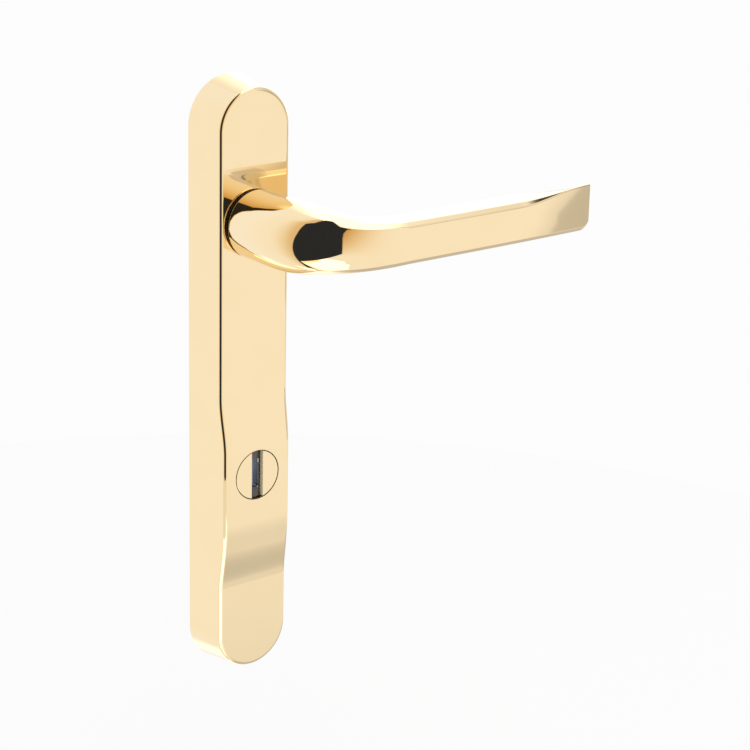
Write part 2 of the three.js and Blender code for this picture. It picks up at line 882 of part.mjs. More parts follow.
function makeLever() {
  const rings = leverRings();
  const flatted = flattedRod(shank.radius, shank.halfFlat, shank.endDepth, rotorFront + 2 * gap);
  const bearing = rod(journal.radius, rotorFront + gap, collarDepth + overrun);
  const grooveFloor = shank.radius - shank.grooveCut;
  const groove = ring(grooveFloor, shank.radius + overrun, clipBack - gap, clipFront + gap);
  const spindleSocket = block(socket.width, socket.width, shank.endDepth - overrun, socket.endDepth);
  return new Body(skin(rings, fan(rings[0].length)))
    .join(bearing, flatted)
    .cut(groove, spindleSocket).geometry;
}

// Pieces round the cylinder axis

function keyway(from, to) {
  return block(guard.keywayWidth, guard.keywayLength, from, to);
}

function rivetHoles(radius, from, to) {
  return [-discRivet.centre, discRivet.centre].map((x) =>
    rod(radius, from, to, steps.small).translate(x, 0, 0),
  );
}

function makeGuardDisc() {
  const grooveFloor = discFront - guard.grooveDepth;
  const groove = block(guard.grooveWidth, 3 * guard.discRadius, grooveFloor, discFront + overrun);
  const rivetEnd = discBack + discRivet.intoDisc + gap;
  return new Body(rod(guard.discRadius, discBack, discFront))
    .cut(groove, keyway(discBack - overrun, discFront))
    .cut(...rivetHoles(discRivet.radius + gap, discBack - overrun, rivetEnd)).geometry;
}

const rivetHeadBack = coreBack + gap;

function makeGuardCore() {
  const counterbore = rivetHeadBack + discRivet.headHeight + gap;
  return new Body(rod(guard.coreRadius, coreBack, coreFront))
    .cut(keyway(coreBack - overrun, coreFront + overrun))
    .cut(...rivetHoles(discRivet.radius + gap, coreBack - overrun, coreFront + overrun))
    .cut(...rivetHoles(discRivet.headRadius + gap, coreBack - overrun, counterbore)).geometry;
}

function makeDiscRivet() {
  const headFront = rivetHeadBack + discRivet.headHeight;
  return turned(
    [
      [0, rivetHeadBack],
      [discRivet.headRadius, rivetHeadBack],
      [discRivet.headRadius, headFront],
      [discRivet.radius, headFront],
      [discRivet.radius, discBack + discRivet.intoDisc],
      [0, discBack + discRivet.intoDisc],
    ],
    steps.small,
  );
}

function makeWaveWasher() {
  const inner = profile.radius + 2 * gap;
  const outer = inner + waveWasher.width;
  const rings = evenly(steps.wave, 0, 2 * Math.PI)
    .slice(1)
    .map((angle) => {
      const wave = (1 + Math.cos(waveWasher.waves * angle)) / 2;
      const back = washerBack + waveWasher.wave * wave;
      const front = back + waveWasher.thickness;
      const corners = [[inner, front], [outer, front], [outer, back], [inner, back]];
      const [cos, sin] = [Math.cos(angle), Math.sin(angle)];
      return corners.map(([radius, depth]) => [radius * cos, -depth, radius * sin]);
    });
  return skin(rings);
}

// Housing outline with round corners, about the cylinder axis
function housingOutline() {
  const inner = housingHalfWidth - housing.cornerRadius;
  const top = housingTop - cylinderHeight - housing.cornerRadius;
  const foot = housingFoot - cylinderHeight + housing.cornerRadius;
  const shape = new THREE.Shape();
  shape.absarc(inner, top, housing.cornerRadius, 0, Math.PI / 2, false);
  shape.absarc(-inner, top, housing.cornerRadius, Math.PI / 2, Math.PI, false);
  shape.absarc(-inner, foot, housing.cornerRadius, Math.PI, (3 * Math.PI) / 2, false);
  shape.absarc(inner, foot, housing.cornerRadius, (3 * Math.PI) / 2, 2 * Math.PI, false);
  shape.closePath();
  return shape;
}

const pinTop = housingTop - gap;

// A bar along Z at one side of the cylinder
function pinBar(radius, top, length, side) {
  const bar = new THREE.CylinderGeometry(radius, radius, length, steps.small).rotateX(Math.PI / 2);
  const centre = housingHalfWidth - drillPin.fromSide;
  return bar.translate(side * centre, -drillPin.depth, top - length / 2);
}

function makeHousing() {
  const outline = prism(housingOutline(), housingBack, housingFront).translate(0, 0, cylinderHeight);
  const from = housingBack - overrun;
  const to = housingFront + overrun;
  const headEnd = guardHeadBack + guardScrew.headHeight + gap;
  const body = new Body(outline).cut(profileHole(profile.clearance, from, to));
  for (const height of guardScrewHeights) {
    const hole = rod(guardScrew.shankRadius + gap, from, to, steps.small);
    const bore = rod(guardScrew.headRadius + gap, from, headEnd, steps.small);
    body.cut(hole.translate(0, 0, height), bore.translate(0, 0, height));
  }
  const pinHoleLength = drillPin.length + gap + overrun + (housingTop - pinTop);
  for (const side of [-1, 1]) {
    body.cut(pinBar(drillPin.radius + gap, housingTop + overrun, pinHoleLength, side));
  }
  return body.geometry;
}

function makeDrillPlate() {
  const top = -(guard.coreRadius + gap) + drillPlate.hornHeight;
  const foot = gap + guardScrew.postRadius - housing.screwBelow;
  const halfWidth = halfWidthAt(coverInside) - cover.sideWall - drillPlate.sideClearance;
  const sheet = block(2 * halfWidth, top - foot, housingFront + gap, coverInside - gap);
  return new Body(sheet.translate(0, 0, (top + foot) / 2))
    .cut(rod(guard.coreRadius + gap, housingFront, coverInside)).geometry;
}

// Assembly

function piece(name, geometry, finish) {
  const mesh = new THREE.Mesh(geometry, new THREE.MeshStandardMaterial({ ...finishes[finish] }));
  mesh.name = name;
  return mesh;
}

function placedAt(height, ...meshes) {
  const group = new THREE.Group();
  group.position.z = height;
  group.add(...meshes);
  return group;
}

function copies(heights, baseName, makeGeometry, finish) {
  return heights.map((height, i) => {
    const copy = piece(`${baseName}_${i + 1}`, makeGeometry(), finish);
    return placedAt(height, copy);
  });
}

const plateGroup = new THREE.Group();
plateGroup.add(piece("cover", makeCover(), "polishedGold"));
plateGroup.add(piece("base_plate", makeBasePlate(), "zincPlate"));
plateGroup.add(placedAt(upperFixingHeight, piece("fixing_lug_upper", makeLug(), "zincPlate")));
plateGroup.add(placedAt(lowerFixingHeight, piece("fixing_lug_lower", makeLug(), "zincPlate")));
plateGroup.add(...copies(coverScrewHeights, "cover_screw", makeCoverScrew, "zincPlate"));
plateGroup.add(piece("guard_housing", makeHousing(), "hardenedSteel"));
for (const [side, name] of [[-1, "drill_pin_left"], [1, "drill_pin_right"]]) {
  const pin = pinBar(drillPin.radius, pinTop, drillPin.length, side);
  plateGroup.add(piece(name, pin, "hardenedSteel"));
}
const makeGuardScrew = () => makePanScrew(guardScrew, guardHeadBack, guardScrewEnd);
const makeCassetteScrew = () => makePanScrew(cassetteScrew, cassetteScrewBack, cassetteScrewEnd);
plateGroup.add(...copies(guardScrewHeights, "guard_screw", makeGuardScrew, "zincPlate"));
plateGroup.add(...copies(cassetteScrewHeights, "cassette_screw", makeCassetteScrew, "zincPlate"));
plateGroup.add(
  placedAt(
    spindleHeight,
    piece("neck_bush", makeBush(), "nylon"),
    piece("neck_washer", makeNeckWasher(), "nylon"),
    piece("cassette_cup", makeCassetteCup(), "castZinc"),
    piece("cassette_lid", makeCassetteLid(), "zincPlate"),
    piece("return_spring", makeSpring(), "springSteel"),
  ),
);
plateGroup.add(
  placedAt(
    cylinderHeight,
    piece("drill_plate", makeDrillPlate(), "hardenedSteel"),
    piece("wave_washer", makeWaveWasher(), "springSteel"),
  ),
);

const leverGroup = placedAt(
  spindleHeight,
  piece("lever", makeLever(), "polishedGold"),
  piece("rotor", makeRotor(), "castZinc"),
  piece("shank_circlip", makeCirclip(), "springSteel"),
);

const discGroup = placedAt(
  cylinderHeight,
  piece("guard_disc", makeGuardDisc(), "polishedGold"),
  piece("guard_core", makeGuardCore(), "hardenedSteel"),
);
for (const [side, name] of [[-1, "disc_rivet_left"], [1, "disc_rivet_right"]]) {
  const rivet = piece(name, makeDiscRivet(), "zincPlate");
  rivet.position.x = side * discRivet.centre;
  discGroup.add(rivet);
}

console.log(`Least gap between turns of the return spring: ${springLeastGap().toFixed(2)} mm`);

const handle = new THREE.Group();
handle.add(plateGroup, leverGroup, discGroup);

export default handle;
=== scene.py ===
"""Looks of an outside lever handle with a turning guard over the euro cylinder.

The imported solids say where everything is. The pieces that show are made again here with fine
curves, and the others keep their solids and get a finish. Metres: X along the grip, Y into the
door, Z up. A depth is a distance from the door's face towards the front, so it runs along -Y.
"""

import json
import logging
import math
from collections.abc import Callable, Iterable, Sequence
from dataclasses import dataclass
from enum import Enum
from typing import Any

import bmesh
import bpy
import numpy as np
from mathutils import Matrix, Vector
from mathutils.kdtree import KDTree


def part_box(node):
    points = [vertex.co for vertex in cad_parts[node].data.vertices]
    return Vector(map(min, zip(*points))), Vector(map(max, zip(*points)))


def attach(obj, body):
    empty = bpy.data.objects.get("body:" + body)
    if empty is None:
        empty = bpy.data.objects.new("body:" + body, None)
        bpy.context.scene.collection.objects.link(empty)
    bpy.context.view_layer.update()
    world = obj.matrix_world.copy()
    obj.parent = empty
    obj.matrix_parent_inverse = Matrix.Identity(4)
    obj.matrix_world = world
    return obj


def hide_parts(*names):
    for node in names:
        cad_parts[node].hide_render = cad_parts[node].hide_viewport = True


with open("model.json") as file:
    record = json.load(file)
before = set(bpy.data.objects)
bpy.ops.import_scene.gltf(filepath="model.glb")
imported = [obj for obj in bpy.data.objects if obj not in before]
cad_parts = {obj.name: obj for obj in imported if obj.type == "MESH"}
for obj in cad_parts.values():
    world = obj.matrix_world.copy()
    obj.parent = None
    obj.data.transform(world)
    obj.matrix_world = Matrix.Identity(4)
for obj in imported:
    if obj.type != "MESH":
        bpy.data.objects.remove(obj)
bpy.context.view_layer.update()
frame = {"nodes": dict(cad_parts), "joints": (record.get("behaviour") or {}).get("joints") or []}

LOG = logging.getLogger("handle")
MM = 0.001
WELD = 1e-7  # doubles this close are merged
SEAM = 1e-6  # the same for the seams of a bent grid
NEAR = 1e-5  # points this close to a surface may lie on it
CREASE = 30.0  # degrees, above which an edge stays sharp
BEYOND = 20 * MM  # a depth in front of every piece of the plate
LONG = 40 * MM  # longer than what a bar cuts through

Point = tuple[float, float]


class Body(Enum):
    """Bodies that move on their own."""

    PLATE = "plate"
    LEVER = "lever"
    DISC = "disc"


class Combine(Enum):
    """Ways to combine two closed solids."""

    JOIN = "UNION"
    CUT = "DIFFERENCE"
    KEEP = "INTERSECT"


# Objects


def new_object(name: str, data: bpy.types.ID) -> bpy.types.Object:
    """Makes an object and puts it into the scene.

    Args:
        name: its name.
        data: its mesh, camera or lamp.

    Returns:
        The object.
    """
    made = bpy.data.objects.new(name, data)
    bpy.context.scene.collection.objects.link(made)
    return made


def applied(shown: bpy.types.Object) -> bpy.types.Mesh:
    """The mesh that an object's modifiers make, which are then taken off.

    Args:
        shown: the object.

    Returns:
        The plain mesh.
    """
    depsgraph = bpy.context.evaluated_depsgraph_get()
    made = bpy.data.meshes.new_from_object(shown.evaluated_get(depsgraph))
    shown.modifiers.clear()
    return made


# Node trees


class Value:
    """An output of a node that can be used in sums."""

    def __init__(self, graph: "Graph", socket: bpy.types.NodeSocket) -> None:
        """Wraps a socket.

        Args:
            graph: the tree that the socket is in.
            socket: the output.
        """
        self.graph = graph
        self.socket = socket

    def other(self, name: str) -> "Value":
        """Another output of the same node."""
        return Value(self.graph, self.socket.node.outputs[name])

    def __add__(self, other: "Value | float") -> "Value":
        """self + other"""
        return self.graph.math("ADD", self, other)

    __radd__ = __add__

    def __sub__(self, other: "Value | float") -> "Value":
        """self - other"""
        return self.graph.math("SUBTRACT", self, other)

    def __rsub__(self, other: float) -> "Value":
        """other - self"""
        return self.graph.math("SUBTRACT", other, self)

    def __mul__(self, other: "Value | float") -> "Value":
        """self * other"""
        return self.graph.math("MULTIPLY", self, other)

    __rmul__ = __mul__

    def __truediv__(self, other: "Value | float") -> "Value":
        """self / other"""
        return self.graph.math("DIVIDE", self, other)

    def __rtruediv__(self, other: float) -> "Value":
        """other / self"""
        return self.graph.math("DIVIDE", other, self)

    def __neg__(self) -> "Value":
        """-self"""
        return self * -1.0

    def clamp(self, low: "Value | float", high: "Value | float") -> "Value":
        """The value kept between two others."""
        return self.graph.node("ShaderNodeClamp", values={"Value": self, "Min": low, "Max": high})

    def past(self, start: float) -> "Value":
        """A straight climb from 0 at a start to 1 at one more."""
        return (self - start).clamp(0.0, 1.0)

    def rise(self, low: "Value | float", high: "Value | float") -> "Value":
        """A smooth step from 0 at low to 1 at high."""
        values = {"Value": self, "From Min": low, "From Max": high}
        return self.graph.node("ShaderNodeMapRange", {"interpolation_type": "SMOOTHSTEP"}, values)

    def fall(self, low: "Value | float", high: "Value | float") -> "Value":
        """A smooth step from 1 at low to 0 at high."""
        return 1.0 - self.rise(low, high)


class Graph:
    """A node tree under construction."""

    def __init__(self, tree: bpy.types.NodeTree) -> None:
        """Wraps a tree.

        Args:
            tree: a shader tree or a geometry tree.
        """
        self.tree = tree

    def node(
        self,
        kind: str,
        settings: dict[str, Any] | None = None,
        values: dict[str | int, Any] | None = None,
        output: str | int = 0,
    ) -> Value:
        """Adds a node.

        Args:
            kind: the node's type.
            settings: its properties, which are set first; stops are those of a colour ramp.
            values: a value or a link for each named or numbered input.
            output: the output to return.

        Returns:
            The node's output.
        """
        made = self.tree.nodes.new(kind)
        for name, value in (settings or {}).items():
            if name == "stops":
                self._set_stops(made.color_ramp, value)
            else:
                setattr(made, name, value)
        for key, value in (values or {}).items():
            if isinstance(value, Value):
                self.tree.links.new(value.socket, made.inputs[key])
            else:
                made.inputs[key].default_value = value
        return Value(self, made.outputs[output] if made.outputs else None)

    @staticmethod
    def _set_stops(ramp: bpy.types.ColorRamp, stops: Sequence[tuple[float, Sequence[float]]]) -> None:
        """Gives a ramp its stops, as (place, colour) pairs.

        Args:
            ramp: the ramp.
            stops: the place and the colour of each stop.
        """
        while len(ramp.elements) < len(stops):
            ramp.elements.new(1.0)
        for element, (place, colour) in zip(ramp.elements, stops, strict=True):
            element.position = place
            element.color = (*colour, 1.0)

    def math(self, operation: str, *operands: Value | float) -> Value:
        """Adds a Math node on its operands."""
        return self.node("ShaderNodeMath", {"operation": operation}, dict(enumerate(operands)))

    def noise(
        self, vector: Value, size: float, detail: float = 2.0, stretch: Sequence[float] = (1, 1, 1)
    ) -> Value:
        """Noise from 0 to 1.

        Args:
            vector: the coordinates, in metres.
            size: the width of its spots in metres.
            detail: the number of finer layers.
            stretch: how much denser it is along each axis.

        Returns:
            The noise.
        """
        scale = tuple(axis / size for axis in stretch)
        placed = self.node("ShaderNodeMapping", values={"Vector": vector, "Scale": scale})
        return self.node("ShaderNodeTexNoise", values={"Vector": placed, "Scale": 1.0, "Detail": detail})

    def blend(self, factor: Value, first: Any, second: Any) -> Value:
        """Mixes two colours."""
        values = {0: factor, 6: first, 7: second}
        return self.node("ShaderNodeMix", {"data_type": "RGBA"}, values, output=2)


class GeometryTree(Graph):
    """Geometry nodes with named inputs, used as a modifier."""

    def __init__(self, name: str, numbers: Sequence[str]) -> None:
        """Makes the tree with its inputs: a geometry, numbers and a material.

        Args:
            name: what the tree makes.
            numbers: the names of the numbers.
        """
        super().__init__(bpy.data.node_groups.new(name, "GeometryNodeTree"))
        kinds = {"Geometry": "Geometry", **dict.fromkeys(numbers, "Float"), "Material": "Material"}
        self.identifiers = {}
        for title, kind in kinds.items():
            socket = self.tree.interface.new_socket(title, in_out="INPUT", socket_type=f"NodeSocket{kind}")
            self.identifiers[title] = socket.identifier
        self.group_input = self.tree.nodes.new("NodeGroupInput")

    def input(self, name: str) -> Value:
        """A named input of the tree."""
        return Value(self, self.group_input.outputs[name])

    def bent_grid(
        self, columns: int, rows: int, place_at: Callable[[Value, Value], tuple[Value, Value, Value]]
    ) -> Value:
        """Bends a grid into a solid and closes its seams.

        Args:
            columns: the grid's vertices one way.
            rows: its vertices the other way.
            place_at: takes the column and the row of a vertex, and gives its X, depth and Z.

        Returns:
            The geometry.
        """
        grid = self.node("GeometryNodeMeshGrid", values={"Vertices X": columns, "Vertices Y": rows})
        index = self.node("GeometryNodeInputIndex")
        column = self.math("FLOOR", (index + 0.5) / float(rows))
        x, depth, z = place_at(column, index - column * float(rows))
        place = self.node("ShaderNodeCombineXYZ", values={"X": x, "Y": -depth, "Z": z})
        shaped = self.node("GeometryNodeSetPosition", values={"Geometry": grid, "Position": place})
        return self.node("GeometryNodeMergeByDistance", values={"Geometry": shaped, "Distance": SEAM})

    def finish(self, geometry: Value) -> None:
        """Ends the tree: instances made real, and the material set.

        Args:
            geometry: what the tree has made.
        """
        self.tree.interface.new_socket("Geometry", in_out="OUTPUT", socket_type="NodeSocketGeometry")
        real = self.node("GeometryNodeRealizeInstances", values={"Geometry": geometry})
        values = {"Geometry": real, "Material": self.input("Material")}
        self.node("NodeGroupOutput", values={0: self.node("GeometryNodeSetMaterial", values=values)})

    def apply(self, mesh: bpy.types.Mesh, inputs: dict[str, Any]) -> bpy.types.Mesh:
        """Runs the tree on a mesh.

        Args:
            mesh: what goes into the tree.
            inputs: a value for each named input.

        Returns:
            The plain mesh that comes out.
        """
        carrier = new_object("carrier", mesh)
        modifier = carrier.modifiers.new("shape", "NODES")
        modifier.node_group = self.tree
        for name, value in inputs.items():
            modifier[self.identifiers[name]] = value
        made = applied(carrier)
        bpy.data.objects.remove(carrier)
        return made


# Finishes


@dataclass(frozen=True)
class Finish:
    """A surface finish made of nodes, on object coordinates."""

    name: str
    slot: str
    colour: tuple[float, float, float]
    tint: tuple[float, float, float]
    roughness: float
    roughness_spread: float
    cloud: float
    grain: float
    grain_height: float
    metallic: float = 1.0
    stretch: tuple[float, float, float] = (1.0, 1.0, 1.0)
    scratch_height: float = 0.0
    scratch_stretch: tuple[float, float, float] = (0.6, 0.6, 9.0)
    cloud_edges: Point = (0.35, 0.65)
    cloud_share: float = 0.6

    def material(self) -> bpy.types.Material:
        """The finish as a material, made once.

        Returns:
            The material.
        """
        title = f"{self.name}_finish"
        known = bpy.data.materials.get(title)
        if known:
            return known
        material = bpy.data.materials.new(title)
        material.use_nodes = True
        graph = Graph(material.node_tree)
        shader = material.node_tree.nodes["Principled BSDF"]
        place = graph.node("ShaderNodeTexCoord", output="Object")
        clouds = graph.noise(place, self.cloud, detail=3.0)
        grain = graph.noise(place, self.grain, stretch=self.stretch)
        colour = graph.blend(clouds.rise(*self.cloud_edges), (*self.colour, 1.0), (*self.tint, 1.0))
        spots = clouds * self.cloud_share + grain * (1 - self.cloud_share) - 0.5
        rough = self.roughness + spots * (2 * self.roughness_spread)
        height = grain * self.grain_height
        if self.scratch_height:
            lines = graph.noise(place, self.grain, detail=4.0, stretch=self.scratch_stretch)
            height = height + lines * self.scratch_height
        bump = graph.node("ShaderNodeBump", values={"Strength": 1.0, "Distance": 1.0, "Height": height})
        shader.inputs["Metallic"].default_value = self.metallic
        for name, value in (("Base Color", colour), ("Roughness", rough), ("Normal", bump)):
            graph.tree.links.new(value.socket, shader.inputs[name])
        return material


POLISHED_GOLD = Finish(
    name="polished_gold",
    slot="polished_gold",
    colour=(0.93, 0.745, 0.445),
    tint=(0.925, 0.735, 0.43),
    roughness=0.03,
    roughness_spread=0.01,
    cloud=0.018,
    grain=0.0022,
    grain_height=6e-8,
)
GROOVE_STEEL = Finish(
    name="groove_steel",
    slot="hardened_steel",
    colour=(0.13, 0.12, 0.105),
    tint=(0.07, 0.075, 0.085),
    roughness=0.3,
    roughness_spread=0.08,
    cloud=0.004,
    grain=0.0004,
    grain_height=1e-6,
)
MILLED_GOLD = Finish(
    name="milled_gold",
    slot="polished_gold",
    colour=(0.86, 0.76, 0.58),
    tint=(0.80, 0.70, 0.52),
    metallic=0.25,
    roughness=0.5,
    roughness_spread=0.06,
    cloud=0.003,
    grain=0.0003,
    grain_height=1e-6,
)
HARDENED_STEEL = Finish(
    name="hardened_steel",
    slot="hardened_steel",
    colour=(0.20, 0.22, 0.25),
    tint=(0.15, 0.165, 0.20),
    roughness=0.36,
    roughness_spread=0.08,
    cloud=0.007,
    grain=0.0006,
    grain_height=1.2e-6,
    scratch_height=2e-6,
)
ZINC_PLATE = Finish(
    name="zinc_plate",
    slot="zinc_plate",
    colour=(0.64, 0.66, 0.69),
    tint=(0.60, 0.61, 0.57),
    roughness=0.3,
    roughness_spread=0.07,
    cloud=0.009,
    grain=0.0007,
    grain_height=1.5e-6,
    stretch=(1.0, 1.0, 0.15),
)
CAST_ZINC = Finish(
    name="cast_zinc",
    slot="cast_zinc",
    colour=(0.43, 0.44, 0.45),
    tint=(0.36, 0.365, 0.37),
    metallic=0.9,
    roughness=0.5,
    roughness_spread=0.1,
    cloud=0.005,
    grain=0.0005,
    grain_height=1.2e-5,
)
SPRING_STEEL = Finish(
    name="spring_steel",
    slot="spring_steel",
    colour=(0.13, 0.14, 0.16),
    tint=(0.16, 0.13, 0.10),
    roughness=0.28,
    roughness_spread=0.06,
    cloud=0.004,
    grain=0.0004,
    grain_height=8e-7,
)
NYLON = Finish(
    name="nylon",
    slot="nylon",
    colour=(0.018, 0.018, 0.020),
    tint=(0.024, 0.024, 0.026),
    metallic=0.0,
    roughness=0.48,
    roughness_spread=0.08,
    cloud=0.006,
    grain=0.0003,
    grain_height=4e-6,
)


# Mesh helpers


def mesh_of(points: np.ndarray, faces: Iterable[Sequence[int]]) -> bpy.types.Mesh:
    """Makes a mesh.

    Args:
        points: its vertices, in metres.
        faces: the vertices of each face.

    Returns:
        The mesh, with its doubles merged and its faces turned outwards.
    """
    mesh = bpy.data.meshes.new("mesh")
    mesh.from_pydata(np.asarray(points, float).tolist(), [], [list(face) for face in faces])
    return cleaned(mesh)


def cleaned(mesh: bpy.types.Mesh) -> bpy.types.Mesh:
    """The same mesh with its doubles merged and its faces turned outwards.

    Args:
        mesh: the mesh, which is changed.

    Returns:
        The mesh.
    """
    work = bmesh.new()
    work.from_mesh(mesh)
    bmesh.ops.remove_doubles(work, verts=work.verts, dist=WELD)
    bmesh.ops.dissolve_degenerate(work, edges=work.edges, dist=WELD)
    bmesh.ops.recalc_face_normals(work, faces=work.faces)
    work.to_mesh(mesh)
    work.free()
    return mesh


def skinned(rings: Sequence[np.ndarray], closed: bool = False) -> bpy.types.Mesh:
    """Joins rings of the same number of points.

    Args:
        rings: arrays of points.
        closed: whether the last ring meets the first, in place of a cap on each end.

    Returns:
        The closed mesh.
    """
    size = len(rings[0])
    count = len(rings)
    faces: list[Sequence[int]] = []
    for k in range(count if closed else count - 1):
        here = k * size
        after = ((k + 1) % count) * size
        for i in range(size):
            j = (i + 1) % size
            faces.append((here + i, here + j, after + j, after + i))
    if not closed:
        faces.append(range(size - 1, -1, -1))
        faces.append(range((count - 1) * size, count * size))
    return mesh_of(np.concatenate(rings), faces)


def turned(
    profile: Sequence[Point], segments: int, x: float = 0.0, z: float = 0.0, closed: bool = False
) -> bpy.types.Mesh:
    """A solid of revolution about a line into the door.

    Args:
        profile: (radius, depth) pairs.
        segments: steps round it.
        x: the axis's place.
        z: the axis's height.
        closed: whether the profile is a loop.

    Returns:
        The closed mesh.
    """
    angles = np.arange(segments) * (2 * math.pi / segments)
    rings = [
        np.stack([x + r * np.cos(angles), np.full(segments, -depth), z + r * np.sin(angles)], axis=1)
        for r, depth in profile
    ]
    return skinned(rings, closed)


def corner_curve(
    start: np.ndarray, corner: np.ndarray, end: np.ndarray, steps: int
) -> tuple[list[np.ndarray], list[np.ndarray]]:
    """Rounds one corner.

    Args:
        start: where the curve leaves the first side.
        corner: the sharp corner.
        end: where the curve meets the second side.
        steps: steps in the curve.

    Returns:
        The curve's points, and its direction at each.
    """
    points, along = [], []
    for share in np.linspace(0, 1, steps + 1):
        points.append((1 - share) ** 2 * start + 2 * share * (1 - share) * corner + share**2 * end)
        along.append((1 - share) * (corner - start) + share * (end - corner))
    return points, along


def toward(point: np.ndarray, other: np.ndarray, ease: float) -> np.ndarray:
    """The place at a distance from a point towards another, or nearly half-way to it."""
    return point + (other - point) * min(ease / np.linalg.norm(other - point), 0.45)


def eased(profile: Sequence[Point], ease: float, steps: int = 3) -> list[Point]:
    """Rounds the corners of an outline.

    Args:
        profile: its corners.
        ease: how far from a corner the rounding starts.
        steps: steps in each rounding.

    Returns:
        The outline with every corner but the first and last rounded.
    """
    corners = [np.array(corner) for corner in profile]
    points = [corners[0]]
    for before, corner, after in zip(corners, corners[1:], corners[2:]):
        curve, _ = corner_curve(toward(corner, before, ease), corner, toward(corner, after, ease), steps)
        points += curve
    points.append(corners[-1])
    return [(float(a), float(b)) for a, b in points]


def eased_loop(profile: Sequence[Point], ease: float, steps: int = 3) -> list[Point]:
    """Rounds every corner of a closed outline."""
    loop = [profile[-1], *profile, profile[0]]
    return eased(loop, ease, steps)[1:-1]


def box_section(inner: float, outer: float, back: float, front: float) -> list[Point]:
    """The section of a ring, or of a rod where its inner radius is 0, as (radius, depth) pairs."""
    return [(inner, back), (outer, back), (outer, front), (inner, front)]


def rod(radius: float, back: float, front: float, x: float = 0.0, z: float = 0.0) -> bpy.types.Mesh:
    """A round bar into the door."""
    return turned(box_section(0, radius, back, front), 96, x, z)


def prism(outline: Sequence[Point], back: float, front: float) -> bpy.types.Mesh:
    """A straight solid of a flat outline.

    Args:
        outline: (x, z) pairs.
        back: the depth of its back.
        front: the depth of its front.

    Returns:
        The closed mesh.
    """
    rings = [np.array([(x, -depth, z) for x, z in outline]) for depth in (back, front)]
    return skinned(rings)


def bar(width: float, height: float, back: float, front: float, z: float) -> bpy.types.Mesh:
    """A block on the plate's middle line."""
    sides = ((1, -1), (1, 1), (-1, 1), (-1, -1))
    return prism([(a * width / 2, z + b * height / 2) for a, b in sides], back, front)


class Solid:
    """A closed mesh that is combined with others and then becomes a piece."""

    def __init__(self, mesh: bpy.types.Mesh) -> None:
        """Starts from a closed mesh."""
        self.object = new_object("solid", mesh)

    def _combine(self, how: Combine, others: Sequence["Solid | bpy.types.Mesh"]) -> "Solid":
        """Combines this solid with others, which are used up.

        Args:
            how: the way to combine them.
            others: the other solids.

        Returns:
            This solid.
        """
        for other in others:
            tool = other if isinstance(other, Solid) else Solid(other)
            modifier = self.object.modifiers.new("combine", "BOOLEAN")
            modifier.operation = how.value
            modifier.solver = "MANIFOLD"
            modifier.object = tool.object
            self.object.data = applied(self.object)
            bpy.data.objects.remove(tool.object)
        return self

    def join(self, *others: "Solid | bpy.types.Mesh") -> "Solid":
        """Adds other solids."""
        return self._combine(Combine.JOIN, others)

    def cut(self, *others: "Solid | bpy.types.Mesh") -> "Solid":
        """Takes other solids away."""
        return self._combine(Combine.CUT, others)

    def keep(self, *others: "Solid | bpy.types.Mesh") -> "Solid":
        """Keeps what lies in other solids."""
        return self._combine(Combine.KEEP, others)

    def piece(self, name: str, finish: Finish, body: Body, nodes: Sequence[str]) -> bpy.types.Object:
        """Turns the solid into a finished piece.

        Args:
            name: the piece's name.
            finish: its finish.
            body: what it moves with.
            nodes: the nodes that it stands for.

        Returns:
            The piece.
        """
        made = self.object
        made.name = name
        made.data.name = name
        made.data.materials.clear()
        made.data.materials.append(finish.material())
        made.data.polygons.foreach_set("use_smooth", [True] * len(made.data.polygons))
        made.data.set_sharp_from_angle(angle=math.radians(CREASE))
        set_normals(made.data, level_normals)
        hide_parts(*nodes)
        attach(made, body.value)
        LOG.info("%s: %d faces, for %s", name, len(made.data.polygons), ", ".join(nodes))
        return made


def values_of(items: Any, name: str, kind: type, width: int = 1) -> np.ndarray:
    """Reads one property of a mesh's items.

    Args:
        items: its vertices, corners or faces.
        name: the property.
        kind: the type of its numbers.
        width: how many numbers each item has.

    Returns:
        A row for each item.
    """
    values = np.zeros(len(items) * width, kind)
    items.foreach_get(name, values)
    return values.reshape(-1, width)


def set_normals(mesh: bpy.types.Mesh, normal_at: Callable[[np.ndarray, np.ndarray], np.ndarray]) -> None:
    """Gives a mesh the exact normals of the surface that it follows.

    Args:
        mesh: the mesh.
        normal_at: takes the places of the corners and their faces' normals, and gives their
            normals, or zeros where the mesh's own are right.
    """
    mesh.update()
    corners = values_of(mesh.loops, "vertex_index", np.int32)[:, 0]
    totals = values_of(mesh.polygons, "loop_total", np.int32)[:, 0]
    owner = np.repeat(np.arange(len(totals)), totals)
    places = values_of(mesh.vertices, "co", float, 3)[corners]
    normals = normal_at(places, values_of(mesh.polygons, "normal", float, 3)[owner])
    mesh.normals_split_custom_set(normals.tolist())


def level_normals(places: np.ndarray, faces: np.ndarray) -> np.ndarray:
    """Keeps faces that lie straight across the door flat up to their edges.

    Args:
        places: points on the mesh.
        faces: the normals of the faces that they belong to.

    Returns:
        The face's normal for each point on such a face, and zeros elsewhere.
    """
    straight = np.abs(faces[:, 1:2]) > 1 - NEAR
    return np.where(straight, faces, np.zeros_like(places))


def dress(finish: Finish, *nodes: str) -> None:
    """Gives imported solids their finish.

    Args:
        finish: the finish.
        nodes: the solids.
    """
    for node in nodes:
        shown = frame["nodes"][node]
        if not shown.material_slots:
            shown.data.materials.append(finish.material())
        for place in shown.material_slots:
            place.material = finish.material()
        LOG.info("%s: %s", node, finish.name)


def smoothstep(value: np.ndarray | float, low: float, high: float) -> np.ndarray | float:
    """A smooth step from 0 at low to 1 at high."""
    share = np.clip((value - low) / (high - low), 0.0, 1.0)
    return share * share * (3 - 2 * share)


def joint_place(name: str) -> Vector:
    """Where a joint's axis meets the door's face."""
    return next(Vector(joint["pos_m"]) for joint in frame["joints"] if joint["name"] == name)


